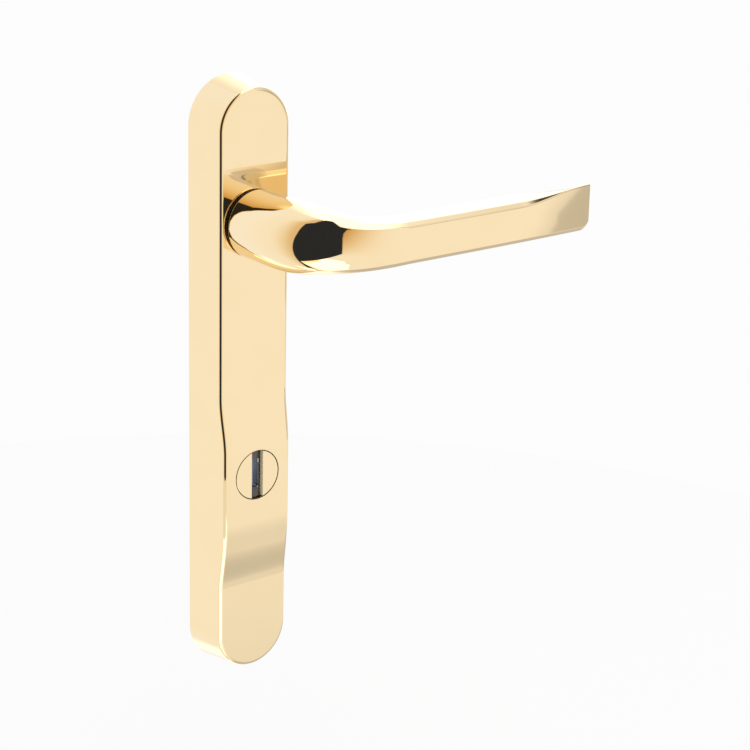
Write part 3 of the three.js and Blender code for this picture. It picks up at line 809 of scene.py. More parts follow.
def middle(node: str) -> Vector:
    """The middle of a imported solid."""
    low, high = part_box(node)
    return (low + high) / 2


SPINDLE = joint_place("lever_turn").z
CYLINDER = joint_place("disc_turn").z
COVER_SCREWS = [f"cover_screw_{number}" for number in range(1, 5)]
CASSETTE_SCREWS = ["cassette_screw_1", "cassette_screw_2"]
GUARD_SCREWS = ["guard_screw_1", "guard_screw_2"]
LUGS = ["fixing_lug_upper", "fixing_lug_lower"]


# Back plate


class RoundEndedTree(GeometryTree):
    """Makes a round-ended plate with a draughted side, a rounded front edge and a swell."""

    STRAIGHT_STEPS = 150
    ARC_STEPS = 56
    EDGE_STEPS = 10
    NUMBERS = (
        "Half Width", "Top Centre", "Foot Centre", "Back", "Depth", "Draft", "Edge Radius",
        "Swell Height", "Swell Top", "Swell Foot", "Ramp Above", "Ramp Below", "Ramp Power",
    )

    def __init__(self) -> None:
        """Builds the tree."""
        super().__init__("round_ended_plate", self.NUMBERS)
        columns = 2 * (self.STRAIGHT_STEPS + self.ARC_STEPS) + 1
        self.finish(self.bent_grid(columns, 4 + self.EDGE_STEPS, self._place))

    def _place(self, around: Value, row: Value) -> tuple[Value, Value, Value]:
        """The place of a vertex.

        Args:
            around: the step round the outline.
            row: the step along the section.

        Returns:
            Its X, depth and Z.
        """
        spine, angle = self._spine(around)
        radius, depth = self._section(row, spine)
        return radius * self.math("COSINE", angle), depth, spine + radius * self.math("SINE", angle)

    def _spine(self, around: Value) -> tuple[Value, Value]:
        """The place on the plate's centre line and the direction away from it.

        Args:
            around: the step round the outline.

        Returns:
            The height on the centre line, and the angle from X.
        """
        straight, arc = float(self.STRAIGHT_STEPS), float(self.ARC_STEPS)
        rising = around.clamp(0.0, straight)
        falling = (around - (straight + arc)).clamp(0.0, straight)
        length = self.input("Top Centre") - self.input("Foot Centre")
        spine = self.input("Foot Centre") + (rising - falling) * length / straight
        turned_by = (around - straight).clamp(0.0, arc) + (around - (2 * straight + arc)).clamp(0.0, arc)
        return spine, turned_by * (math.pi / arc)

    def _section(self, row: Value, spine: Value) -> tuple[Value, Value]:
        """The section from the middle of the back to the middle of the front.

        Args:
            row: the step along the section.
            spine: the height on the centre line.

        Returns:
            The distance from the centre line, and the depth.
        """
        foot, top = self.input("Swell Foot"), self.input("Swell Top")
        climb = ((spine - foot) / self.input("Ramp Below") + 1.0).clamp(0.0, 1.0)
        rising = self.math("POWER", climb, self.input("Ramp Power")).rise(0.0, 1.0)
        falling = 1.0 - spine.rise(top, top + self.input("Ramp Above"))
        edge, back = self.input("Edge Radius"), self.input("Back")
        wall_top = self.input("Depth") + self.input("Swell Height") * rising * falling - edge
        plain = self.input("Depth") - edge
        draft = self.input("Draft")
        at_back = self.input("Half Width") + draft * (1.0 - back / plain)
        at_top = self.input("Half Width") + draft * (1.0 - wall_top / plain)
        turn = (row - 2.0).clamp(0.0, float(self.EDGE_STEPS)) * (math.pi / 2 / self.EDGE_STEPS)
        out, up, home = row.past(0.0), row.past(1.0), row.past(2.0 + self.EDGE_STEPS)
        rounded = edge * (1.0 - self.math("COSINE", turn))
        radius = (at_back * out + (at_top - at_back) * up - rounded) - (at_top - edge) * home
        depth = back + (wall_top - back) * up + edge * self.math("SINE", turn)
        return radius, depth


@dataclass(frozen=True)
class PlateShape:
    """Sizes of the round-ended plate, in metres."""

    SAME_WAY = 0.9

    half_width: float = 14.52 * MM
    top: float = 107.4 * MM
    depth: float = 16 * MM
    draft: float = 2.15 * MM
    edge: float = 1.5 * MM
    swell: float = 2.4 * MM
    above: float = 9.2 * MM
    below: float = 17.5 * MM
    ramp_above: float = 21 * MM
    ramp_below: float = 24.5 * MM
    ramp_power: float = 0.75

    @property
    def centre(self) -> float:
        """Height of the middle of the upper round end."""
        return self.top - self.half_width

    @property
    def plain(self) -> float:
        """Depth where the front edge starts to round away from the swell."""
        return self.depth - self.edge

    def inputs(self, finish: Finish) -> dict[str, Any]:
        """The values of the geometry tree's inputs."""
        return {
            "Half Width": self.half_width,
            "Top Centre": self.centre,
            "Foot Centre": -self.centre,
            "Back": 0.0,
            "Depth": self.depth,
            "Draft": self.draft,
            "Edge Radius": self.edge,
            "Swell Height": self.swell,
            "Swell Top": CYLINDER + self.above,
            "Swell Foot": CYLINDER - self.below,
            "Ramp Above": self.ramp_above,
            "Ramp Below": self.ramp_below,
            "Ramp Power": self.ramp_power,
            "Material": finish.material(),
        }

    def front(self, height: np.ndarray) -> np.ndarray:
        """Depth of the front at a height.

        Args:
            height: heights on the centre line.

        Returns:
            The depths.
        """
        foot, top = CYLINDER - self.below, CYLINDER + self.above
        climb = np.clip((height - foot) / self.ramp_below + 1, 0, 1)
        rising = smoothstep(climb**self.ramp_power, 0, 1)
        falling = 1 - smoothstep(height, top, top + self.ramp_above)
        return self.depth + self.swell * rising * falling

    def normals(self, places: np.ndarray, faces: np.ndarray) -> np.ndarray:
        """Exact normals of the outside.

        Args:
            places: points on the mesh.
            faces: the normals of the faces that they belong to.

        Returns:
            A normal for each point on the outside, and zeros elsewhere.
        """
        x, depth, z = places[:, 0], -places[:, 1], places[:, 2]
        spine = np.clip(z, -self.centre, self.centre)
        out = np.stack([x, z - spine], axis=1)
        radius = np.linalg.norm(out, axis=1)
        out = out / np.maximum(radius, WELD)[:, None]
        front = self.front(spine)
        slope = (self.front(spine + NEAR) - self.front(spine - NEAR)) / (2 * NEAR)
        wall_top = front - self.edge
        flat = self.half_width + self.draft * (1 - wall_top / self.plain) - self.edge
        least = math.atan(self.draft / self.plain)
        turn = np.arctan2(depth - wall_top, radius - flat)
        turn = np.clip(np.where(radius < flat, math.pi / 2, turn), least, math.pi / 2)
        forward = np.stack([np.zeros_like(x), -np.ones_like(x), -slope], axis=1)
        forward /= np.linalg.norm(forward, axis=1)[:, None]
        side = np.stack([out[:, 0], np.zeros_like(x), out[:, 1]], axis=1)
        normals = side * np.cos(turn)[:, None] + forward * np.sin(turn)[:, None]
        wall = self.half_width + self.draft * (1 - depth / self.plain)
        on_side = (np.abs(radius - wall) < 2 * NEAR) & (depth < wall_top + SEAM)
        on_edge = np.abs(np.hypot(radius - flat, depth - wall_top) - self.edge) < 4 * NEAR
        on_front = (np.abs(depth - front) < 2 * NEAR) & (radius < flat + NEAR)
        outside = on_side | (on_edge & (depth > wall_top - SEAM)) | on_front
        agree = np.einsum("ij,ij->i", normals, faces) > self.SAME_WAY
        normals[~(outside & agree)] = 0.0
        return normals


@dataclass(frozen=True)
class Post:
    """Sizes of a post inside the cover and of the hole in it, in metres."""

    radius: float
    foot: float
    hole: float


@dataclass(frozen=True)
class LugShape:
    """Sizes of a threaded lug, in metres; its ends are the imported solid's."""

    radius: float = 4 * MM
    chamfer: float = 0.8 * MM
    flange: float = 5.4 * MM
    flange_foot: float = 2.3 * MM
    flange_front: float = 3.7 * MM
    ease: float = 0.15 * MM
    mouth: float = 2.5 * MM
    mouth_depth: float = 0.5 * MM
    bore: float = 2.1 * MM
    bore_depth: float = 15.5 * MM
    groove: float = 2.42 * MM
    first_groove: float = 0.7 * MM
    pitch: float = 0.8 * MM
    turns: int = 17

    def outside(self, tail: float, front: float) -> list[Point]:
        """The outline from the middle of its tail to the middle of its front.

        Args:
            tail: the depth of its tail.
            front: the depth of its front.

        Returns:
            The (radius, depth) pairs.
        """
        corners = [
            (self.radius - self.chamfer, tail),
            (self.radius, tail + self.chamfer),
            (self.radius, self.flange_foot),
            (self.flange, self.flange_foot),
            (self.flange, self.flange_front),
            (self.radius, self.flange_front),
            (self.radius, front),
        ]
        return [(0, tail), *eased(corners, self.ease), (0, front)]

    def thread(self, tail: float, before: float) -> list[Point]:
        """The outline of the threaded hole, from a depth behind the tail to its end.

        Args:
            tail: the depth of the lug's tail.
            before: the depth behind it.

        Returns:
            The (radius, depth) pairs.
        """
        outline = [(0, before), (self.mouth, before), (self.mouth, tail)]
        outline += [(self.bore, tail + self.mouth_depth)]
        for turn in range(self.turns):
            groove = tail + self.first_groove + self.pitch * turn
            outline += [(self.groove, groove), (self.bore, groove + self.pitch / 2)]
        return [*outline, (0, tail + self.bore_depth)]


@dataclass
class BackPlate:
    """The cover, the sheet that closes it, the lugs and the neck's rings."""

    shape: PlateShape
    tree: RoundEndedTree
    lug: LugShape = LugShape()
    cover_post: Post = Post(radius=3.2 * MM, foot=2.3 * MM, hole=1.75 * MM)
    cassette_post: Post = Post(radius=2.7 * MM, foot=7.0 * MM, hole=1.7 * MM)
    guard_post: Post = Post(radius=3.0 * MM, foot=12.3 * MM, hole=1.7 * MM)
    lug_post: Post = Post(radius=6.2 * MM, foot=4.0 * MM, hole=4.3 * MM)
    wall: float = 2 * MM
    front_wall: float = 2.2 * MM
    inner_edge: float = 0.5 * MM
    hole_lead: float = 0.5 * MM
    neck_hole: float = 10.7 * MM
    core_pocket: float = 11.3 * MM
    disc_hole: float = 9.3 * MM
    sheet: float = 2 * MM
    sheet_gap: float = 0.5 * MM
    sheet_edge: float = 0.25 * MM
    shank_hole: float = 8.6 * MM
    opening_margin: float = 0.6 * MM
    sink_foot: float = 0.2 * MM
    sink_front: float = 1.7 * MM
    ring_inner: float = 9.3 * MM
    ring_outer: float = 11.6 * MM
    ring_back: float = 16.3 * MM
    ring_front: float = 16.9 * MM
    ring_ease: float = 0.12 * MM
    gap: float = 0.3 * MM
    overrun: float = 1 * MM

    def solid(self, inputs: dict[str, Any]) -> bpy.types.Mesh:
        """The round-ended solid for these values of the tree's inputs."""
        return cleaned(self.tree.apply(bpy.data.meshes.new("start"), inputs))

    def inner(self, inset: float, back: float, front: float, edge: float) -> bpy.types.Mesh:
        """A flat round-ended solid inside the cover's side.

        Args:
            inset: how far inside the cover's side it lies.
            back: the depth of its back.
            front: the depth of its front.
            edge: the radius of its front edge.

        Returns:
            The mesh.
        """
        share = (front - edge) / self.shape.plain
        inputs = self.shape.inputs(ZINC_PLATE)
        inputs["Half Width"] += self.shape.draft * (1 - share) - inset
        inputs["Draft"] *= share
        return self.solid(inputs | {"Swell Height": 0.0, "Back": back, "Depth": front, "Edge Radius": edge})

    def cavity(self) -> Solid:
        """The space inside the cover, with its posts left standing and opened for their screws.

        Returns:
            The space.
        """
        front = self.shape.depth - self.front_wall
        space = Solid(self.inner(self.wall, -self.overrun, front, self.inner_edge))
        for node in COVER_SCREWS:
            self._post(space, node, self.cover_post)
        for cassette_screw, guard_screw in zip(CASSETTE_SCREWS, GUARD_SCREWS, strict=True):
            self._post(space, cassette_screw, self.cassette_post)
            self._post(space, guard_screw, self.guard_post)
        for node in LUGS:
            self._post(space, node, self.lug_post)
        return space

    def _post(self, space: Solid, node: str, post: Post) -> None:
        """Leaves a post in the cover's space and opens it for the screw or lug that it holds.

        Args:
            space: the space inside the cover.
            node: the screw or lug.
            post: the post's sizes.
        """
        height = middle(node).z
        end = -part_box(node)[0].y
        space.cut(rod(post.radius, post.foot, BEYOND, z=height))
        space.join(rod(post.hole, post.foot - self.hole_lead, end + self.gap, z=height))

    def cover(self) -> None:
        """Makes the gold shell."""
        inside = self.shape.depth - 2 * self.wall
        pocket = self.shape.depth + self.shape.swell - self.front_wall
        shell = Solid(self.solid(self.shape.inputs(POLISHED_GOLD))).cut(self.cavity())
        shell.cut(
            rod(self.neck_hole, inside, BEYOND, z=SPINDLE),
            rod(self.core_pocket, inside, pocket, z=CYLINDER),
            rod(self.disc_hole, pocket - self.overrun, BEYOND, z=CYLINDER),
        )
        made = shell.piece("plate_cover", POLISHED_GOLD, Body.PLATE, ["cover"])
        set_normals(made.data, self.shape.normals)

    def base(self) -> None:
        """Makes the sheet that closes the back."""
        back, front = -self.overrun, 2 * self.sheet
        sheet = Solid(self.inner(self.wall + self.sheet_gap, 0.0, self.sheet, self.sheet_edge))
        sheet.cut(
            rod(self.shank_hole, back, front, z=SPINDLE),
            prism(euro_profile(self.opening_margin), back, front),
        )
        for node in LUGS:
            sheet.cut(rod(self.lug_post.hole, back, front, z=middle(node).z))
        head, hole = self.cover_post.radius, self.cover_post.hole
        sink = [(0, back), (head, back), (head, self.sink_foot)]
        sink += [(hole, self.sink_front), (hole, front), (0, front)]
        for node in COVER_SCREWS:
            sheet.cut(turned(sink, segments=48, z=middle(node).z))
        sheet.piece("back_sheet", ZINC_PLATE, Body.PLATE, ["base_plate"])

    def lugs(self) -> None:
        """Makes the threaded lugs that take the through-bolts."""
        for node in LUGS:
            low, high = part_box(node)
            height = middle(node).z
            body = Solid(turned(self.lug.outside(-high.y, -low.y), segments=64, z=height))
            body.cut(turned(self.lug.thread(-high.y, -high.y - self.overrun), segments=48, z=height))
            body.piece(node.removeprefix("fixing_"), ZINC_PLATE, Body.PLATE, [node])

    def build(self) -> None:
        """Makes the plate's own pieces."""
        self.cover()
        self.base()
        self.lugs()
        section = box_section(self.ring_inner, self.ring_outer, self.ring_back, self.ring_front)
        ring = turned(eased_loop(section, self.ring_ease), segments=128, z=SPINDLE, closed=True)
        Solid(ring).piece("neck_ring", NYLON, Body.PLATE, ["neck_washer"])
        dress(NYLON, "neck_bush")


# Screws


class ScrewTree(GeometryTree):
    """Puts a screw with a helical thread and a cross recess on every point that goes in."""

    AROUND = 40
    THREAD_ROWS = 90
    RUN_OUT = 0.06
    TURNS_AHEAD = 8.0  # keeps the thread's phase positive
    NUMBERS = (
        "Head Radius", "Head Foot Radius", "Head Height", "Shank Radius", "Length",
        "Thread Pitch", "Thread Depth", "Recess Width", "Recess Span", "Recess Depth",
    )

    def __init__(self) -> None:
        """Builds the tree."""
        super().__init__("screw_set", self.NUMBERS)
        cut = self._recess(self.bent_grid(self.AROUND + 1, self.THREAD_ROWS + 6, self._place))
        points = self.node("GeometryNodeMeshToPoints", values={"Mesh": self.input("Geometry")})
        copies = self.node("GeometryNodeInstanceOnPoints", values={"Points": points, "Instance": cut})
        self.finish(copies)

    def _place(self, around: Value, row: Value) -> tuple[Value, Value, Value]:
        """The place of a vertex.

        Args:
            around: the step round the axis.
            row: the step along the outline.

        Returns:
            Its X, depth and Z.
        """
        angle = around * (-2 * math.pi / self.AROUND)
        radius, depth = self._section(row, angle)
        return radius * self.math("COSINE", angle), depth, radius * self.math("SINE", angle)

    def _section(self, row: Value, angle: Value) -> tuple[Value, Value]:
        """The screw's outline from the middle of its head to the middle of its end.

        Args:
            row: the step along it.
            angle: the direction round the axis.

        Returns:
            The radius, and the depth from the top of the head.
        """
        rows = float(self.THREAD_ROWS)
        head, foot, shank = (self.input(f"{part} Radius") for part in ("Head", "Head Foot", "Shank"))
        height, length = self.input("Head Height"), self.input("Length")
        along = ((row - 3.0) / rows).clamp(0.0, 1.0)
        run = length * along
        turns = run / self.input("Thread Pitch") + angle / (2 * math.pi)
        phase = self.math("FRACT", turns + self.TURNS_AHEAD)
        groove = self.math("ABSOLUTE", phase * 2.0 - 1.0) * self.input("Thread Depth")
        ends = along.rise(0.0, self.RUN_OUT) * along.fall(1 - self.RUN_OUT, 1.0)
        out = head * row.past(0.0) + (foot - head) * row.past(1.0) + (shank - foot) * row.past(2.0)
        out = out - groove * ends - self.input("Thread Depth") * row.past(3.0 + rows)
        radius = out * (1.0 - row.past(4.0 + rows))
        depth = height * row.past(1.0) + (length - height) * along
        return radius, depth

    def _recess(self, body: Value) -> Value:
        """Cuts the cross into the head.

        Args:
            body: the plain screw.

        Returns:
            The screw.
        """
        width, span, deep = (self.input(f"Recess {part}") for part in ("Width", "Span", "Depth"))
        settings = {"operation": "DIFFERENCE", "solver": "MANIFOLD"}
        for across, high in ((width, span), (span, width)):
            size = self.node("ShaderNodeCombineXYZ", values={"X": across, "Y": deep * 2.0, "Z": high})
            block = self.node("GeometryNodeMeshCube", values={"Size": size})
            body = self.node("GeometryNodeMeshBoolean", settings, {"Mesh 1": body, "Mesh 2": block})
        return body


@dataclass(frozen=True)
class ScrewKind:
    """Sizes of one kind of screw, in metres."""

    head: float
    foot: float
    height: float
    shank: float
    recess: tuple[float, float, float]
    pitch: float = 0.9 * MM
    thread: float = 0.3 * MM

    def inputs(self, length: float) -> dict[str, Any]:
        """The values of the screw tree's inputs."""
        width, span, deep = self.recess
        return {
            "Head Radius": self.head,
            "Head Foot Radius": self.foot,
            "Head Height": self.height,
            "Shank Radius": self.shank,
            "Length": length,
            "Thread Pitch": self.pitch,
            "Thread Depth": self.thread,
            "Recess Width": width,
            "Recess Span": span,
            "Recess Depth": deep,
            "Material": ZINC_PLATE.material(),
        }


@dataclass
class Screws:
    """Every set of screws, each set one piece."""

    tree: ScrewTree
    cover: ScrewKind = ScrewKind(
        head=2.9 * MM, foot=1.45 * MM, height=1.5 * MM, shank=1.45 * MM, recess=(0.7 * MM, 3.2 * MM, 1 * MM)
    )
    cassette: ScrewKind = ScrewKind(
        head=2.6 * MM, foot=2.6 * MM, height=0.8 * MM, shank=1.4 * MM, recess=(0.6 * MM, 2.8 * MM, 0.5 * MM)
    )
    guard: ScrewKind = ScrewKind(
        head=2.6 * MM, foot=2.6 * MM, height=1.3 * MM, shank=1.4 * MM, recess=(0.6 * MM, 2.8 * MM, 0.7 * MM)
    )

    def build(self) -> None:
        """Makes the three sets."""
        self._set("cover_screws", self.cover, COVER_SCREWS)
        self._set("cassette_screws", self.cassette, CASSETTE_SCREWS)
        self._set("guard_screws", self.guard, GUARD_SCREWS)

    def _set(self, name: str, kind: ScrewKind, nodes: list[str]) -> None:
        """Makes one set of screws in the places of their nodes.

        Args:
            name: the set's name.
            kind: the screws' sizes.
            nodes: the nodes.
        """
        points = bpy.data.meshes.new(name)
        heads = [(0.0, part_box(node)[1].y, middle(node).z) for node in nodes]
        points.from_pydata(heads, [], [])
        low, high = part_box(nodes[0])
        made = self.tree.apply(points, kind.inputs(high.y - low.y))
        Solid(cleaned(made)).piece(name, ZINC_PLATE, Body.PLATE, nodes)


# Guard over the cylinder


def euro_profile(margin: float) -> list[Point]:
    """The cylinder's outline, larger all round by a margin.

    Args:
        margin: how much larger.

    Returns:
        The (x, z) pairs.
    """
    radius, half_stem, foot = 8.5 * MM + margin, 5 * MM + margin, 24.5 * MM + margin
    meet = math.asin(half_stem / radius)
    angles = np.linspace(meet - math.pi / 2, 1.5 * math.pi - meet, 97)
    arc = [(radius * math.cos(a), CYLINDER + radius * math.sin(a)) for a in angles]
    return [(-half_stem, CYLINDER - foot), (half_stem, CYLINDER - foot), *arc]


@dataclass
class Guard:
    """The turning disc with its core, and the hardened block behind it."""

    face: float = 18.4 * MM
    disc_radius: float = 8.98 * MM
    disc_thickness: float = 2.2 * MM
    disc_ease: float = 0.18 * MM
    groove_width: float = 4.8 * MM
    groove_depth: float = 1.7 * MM
    key_width: float = 3.2 * MM
    key_length: float = 11 * MM
    key_ease: float = 0.5 * MM
    core_radius: float = 11 * MM
    core_back: float = 13.3 * MM
    core_front: float = 15.9 * MM
    core_ease: float = 0.2 * MM
    rivet_place: float = 5.6 * MM
    rivet_hole: float = 1.2 * MM
    rivet_depth: float = 1.4 * MM
    rivet_head_hole: float = 1.9 * MM
    rivet_head_front: float = 14.7 * MM
    block_corner: float = 5 * MM
    opening_margin: float = 0.3 * MM
    screw_hole: float = 1.7 * MM
    screw_head_hole: float = 2.9 * MM
    screw_head_front: float = 4.2 * MM
    pin_hole: float = 1.2 * MM
    pin_gap: float = 0.3 * MM
    pin_hole_length: float = 60 * MM
    overrun: float = 1 * MM

    def keyway(self, back: float, front: float) -> bpy.types.Mesh:
        """A round-ended slot for the key.

        Args:
            back: the depth of its back.
            front: the depth of its front.

        Returns:
            The solid to cut away.
        """
        half, reach = self.key_width / 2, self.key_length / 2
        corners = [(half, -reach), (half, reach), (-half, reach), (-half, -reach)]
        return prism([(x, z + CYLINDER) for x, z in eased_loop(corners, self.key_ease, 5)], back, front)

    def disc(self) -> None:
        """Makes the gold face."""
        back, beyond = self.face - self.disc_thickness, self.face + self.overrun
        section = box_section(0, self.disc_radius, back, self.face)
        body = Solid(turned(eased(section, self.disc_ease, 4), segments=128, z=CYLINDER))
        floor = self.face - self.groove_depth
        body.cut(bar(self.groove_width, LONG, floor, beyond, z=CYLINDER))
        body.cut(self.keyway(back - self.overrun, beyond))
        for x in (-self.rivet_place, self.rivet_place):
            body.cut(rod(self.rivet_hole, back - self.overrun, back + self.rivet_depth, x, CYLINDER))
        made = body.piece("disc_face", POLISHED_GOLD, Body.DISC, ["guard_disc"])
        made.data.materials.append(GROOVE_STEEL.material())
        made.data.materials.append(MILLED_GOLD.material())
        for polygon in made.data.polygons:
            if abs(-polygon.center.y - floor) < NEAR:
                polygon.material_index = 1
            elif abs(abs(polygon.center.x) - self.groove_width / 2) < NEAR:
                polygon.material_index = 2

    def core(self) -> None:
        """Makes the hardened flange behind the face."""
        behind, beyond = self.core_back - self.overrun, self.core_front + self.overrun
        section = box_section(0, self.core_radius, self.core_back, self.core_front)
        body = Solid(turned(eased(section, self.core_ease), segments=128, z=CYLINDER))
        body.cut(self.keyway(behind, beyond))
        for x in (-self.rivet_place, self.rivet_place):
            body.cut(
                rod(self.rivet_hole, behind, beyond, x, CYLINDER),
                rod(self.rivet_head_hole, behind, self.rivet_head_front, x, CYLINDER),
            )
        body.piece("disc_core", HARDENED_STEEL, Body.DISC, ["guard_core"])

    def block(self) -> None:
        """Makes the hardened block with the opening for the cylinder."""
        low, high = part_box("guard_housing")
        corners = [(high.x, low.z), (high.x, high.z), (low.x, high.z), (low.x, low.z)]
        body = Solid(prism(eased_loop(corners, self.block_corner, 12), -high.y, -low.y))
        body.cut(prism(euro_profile(self.opening_margin), 0, BEYOND))
        for node in GUARD_SCREWS:
            height = middle(node).z
            body.cut(rod(self.screw_hole, 0, BEYOND, z=height))
            body.cut(rod(self.screw_head_hole, 0, self.screw_head_front, z=height))
        stand = Matrix.Rotation(math.pi / 2, 4, "X") @ Matrix.Scale(-1, 4, (0, 1, 0))
        for node in ("drill_pin_left", "drill_pin_right"):
            place = middle(node)
            place.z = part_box(node)[0].z - self.pin_gap
            hole = turned(box_section(0, self.pin_hole, 0, self.pin_hole_length), segments=32)
            hole.transform(Matrix.Translation(place) @ stand)
            body.cut(cleaned(hole))
        body.piece("guard_block", HARDENED_STEEL, Body.PLATE, ["guard_housing"])

    def build(self) -> None:
        """Makes the pieces round the cylinder's axis."""
        self.disc()
        self.core()
        self.block()
        dress(ZINC_PLATE, "disc_rivet_left", "disc_rivet_right")
        dress(HARDENED_STEEL, "drill_plate", "drill_pin_left", "drill_pin_right")
        dress(SPRING_STEEL, "wave_washer")


# Lever


@dataclass(frozen=True)
class Station:
    """A place along the lever's centre line."""

    x: float
    depth: float
    forward: Point
    height: float
    round_share: float
    radius: float
    to_end: float


@dataclass
class Lever:
    """The handle: shank, neck, elbow and grip in one casting."""

    NECK_STEPS = 4
    BEND_STEPS = 72
    GRIP_STEPS = 63
    TIP_STEPS = 21
    EDGE_STEPS = 5

    collar_depth: float = 17.2 * MM
    collar_radius: float = 12.2 * MM
    collar_edge: float = 0.4 * MM
    elbow_radius: float = 12.6 * MM
    bend_end_radius: float = 11.9 * MM
    bend_radius: float = 31 * MM
    grip_depth: float = 57.4 * MM
    length: float = 114.4 * MM
    thickness: float = 12.2 * MM
    tall: float = 14.8 * MM
    bevel: float = 1.45 * MM
    least_bevel: float = 0.3 * MM
    corner_ease: float = 0.35 * MM
    drop: float = 1.1 * MM
    tip_drop: float = 1.1 * MM
    tip_set_back: float = 2 * MM
    tip_zone: float = 34 * MM
    tip_rise: float = 2.4 * MM
    tip_fall: float = 1.6 * MM
    tip_corner: float = 3.2 * MM
    tip_back: float = 6 * MM
    tip_edge: float = 0.35 * MM
    elbow_place: float = 0.3
    bend_end_place: float = 0.8
    flattening: Point = (0.1, 1.08)
    flat_after: float = 0.22
    rotor_front: float = 11.2 * MM
    shank_radius: float = 8 * MM
    shank_back: float = 1.2 * MM
    shank_overlap: float = 0.6 * MM
    shank_flats: float = 12.4 * MM
    clip_groove: tuple[float, float, float, float] = (7.15 * MM, 9 * MM, 2 * MM, 3.4 * MM)
    journal_radius: float = 9 * MM
    journal_gap: float = 0.3 * MM
    journal_front: float = 18.2 * MM
    socket: float = 8.2 * MM
    socket_back: float = 0.2 * MM
    socket_front: float = 34 * MM

    @property
    def grip(self) -> float:
        """Length of the grip after the bend."""
        return self.length - self.bend_radius

    def corners(self, to_end: float) -> np.ndarray:
        """Corners of the grip's section, as (towards the door, height).

        Args:
            to_end: the distance left to the tip.

        Returns:
            The eight corners.
        """
        run = 1 - smoothstep(to_end, 0, self.tip_zone)
        back = self.thickness / 2 - self.cut(self.tip_back, to_end)
        front = -self.thickness / 2
        foot = self.cut(self.tip_corner, to_end) - self.tall / 2
        back_top = self.tall / 2 - self.tip_fall * run
        front_top = self.tall / 2 + self.tip_rise * run
        bevel = self.bevel
        front_bevel = max(bevel * (1 - run), self.least_bevel)
        return np.array(
            [
                (back, foot + bevel),
                (back, back_top - bevel),
                (back - bevel, back_top),
                (front + front_bevel, front_top),
                (front, front_top - front_bevel),
                (front, foot + bevel),
                (front + bevel, foot),
                (back - bevel, foot),
            ]
        )

    @staticmethod
    def cut(radius: float, to_end: float) -> float:
        """How far a corner of this radius has gone in at a distance from the end."""
        left = max(radius - to_end, 0.0)
        return radius - math.sqrt(radius * radius - left * left)

    def outline(self, to_end: float) -> tuple[np.ndarray, np.ndarray]:
        """The grip's section with eased corners.

        Args:
            to_end: the distance left to the tip.

        Returns:
            Its points, and the direction along the outline at each.
        """
        corners = self.corners(to_end)
        points, along = [], []
        for k, corner in enumerate(corners):
            after = corners[(k + 1) % len(corners)]
            start = toward(corner, corners[k - 1], self.corner_ease)
            end = toward(corner, after, self.corner_ease)
            curve, directions = corner_curve(start, corner, end, 5)
            points += curve
            along += directions
            stop = toward(after, corner, self.corner_ease)
            for share in np.linspace(0, 1, 9 if k % 2 == 0 else 3)[1:-1]:
                points.append(end + (stop - end) * share)
                along.append(after - corner)
        return np.array(points), np.array(along)

    def station(self, place: float) -> Station:
        """A place on the centre line.

        Args:
            place: -1 at the collar, 0 at the start of the bend, 1 at its end, and 2 at the tip.

        Returns:
            The station.
        """
        start = self.grip_depth - self.bend_radius
        if place < 0:
            depth = start + place * (start - self.collar_depth)
            return Station(0.0, depth, (0.0, 1.0), 0.0, 1.0, self.collar_radius, self.grip)
        to_elbow = smoothstep(place, 0, self.elbow_place)
        to_end = smoothstep(place, self.elbow_place, self.bend_end_place)
        round_share = 1 - smoothstep(min(place, 1.0), *self.flattening)
        radius = self.collar_radius + (self.elbow_radius - self.collar_radius) * to_elbow
        radius += (self.bend_end_radius - self.elbow_radius) * to_end
        if place <= 1:
            angle = place * math.pi / 2
            forward = (math.sin(angle), math.cos(angle))
            x = self.bend_radius * (1 - forward[1])
            depth = start + self.bend_radius * forward[0]
            height = -self.drop * smoothstep(place, 0, self.bend_end_place)
            return Station(x, depth, forward, height, round_share, radius, self.grip)
        share = place - 1
        round_share *= max(1 - share / self.flat_after, 0.0)
        x = self.bend_radius + share * self.grip
        depth = self.grip_depth - self.tip_set_back * share * share
        height = -self.drop - self.tip_drop * share
        return Station(x, depth, (1.0, 0.0), height, round_share, radius, self.grip * (1 - share))

    def ring(self, place: float, inset: float = 0.0) -> tuple[np.ndarray, np.ndarray]:
        """Points round the lever and the directions along the ring.

        Args:
            place: the place along the lever.
            inset: how far inside the surface it lies.

        Returns:
            The points and the directions.
        """
        at = self.station(place)
        full, full_along = self.outline(self.tip_zone)
        flat, flat_along = self.outline(at.to_end)
        angle = np.arctan2(full[:, 1], full[:, 0])
        spin = (full[:, 0] * full_along[:, 1] - full[:, 1] * full_along[:, 0]) / (full**2).sum(1)
        circle = at.radius * np.stack([np.cos(angle), np.sin(angle)], axis=1)
        circle_along = at.radius * spin[:, None] * np.stack([-np.sin(angle), np.cos(angle)], axis=1)
        section = at.round_share * circle + (1 - at.round_share) * flat
        along = at.round_share * circle_along + (1 - at.round_share) * flat_along
        if inset:
            out = np.stack([along[:, 1], -along[:, 0]], axis=1)
            section = section - inset * out / np.linalg.norm(out, axis=1)[:, None]
        ahead_x, ahead_depth = at.forward
        points = np.stack(
            [
                at.x + section[:, 0] * ahead_depth,
                -at.depth + section[:, 0] * ahead_x,
                SPINDLE + at.height + section[:, 1],
            ],
            axis=1,
        )
        along_3d = np.stack([along[:, 0] * ahead_depth, along[:, 0] * ahead_x, along[:, 1]], axis=1)
        return points, along_3d

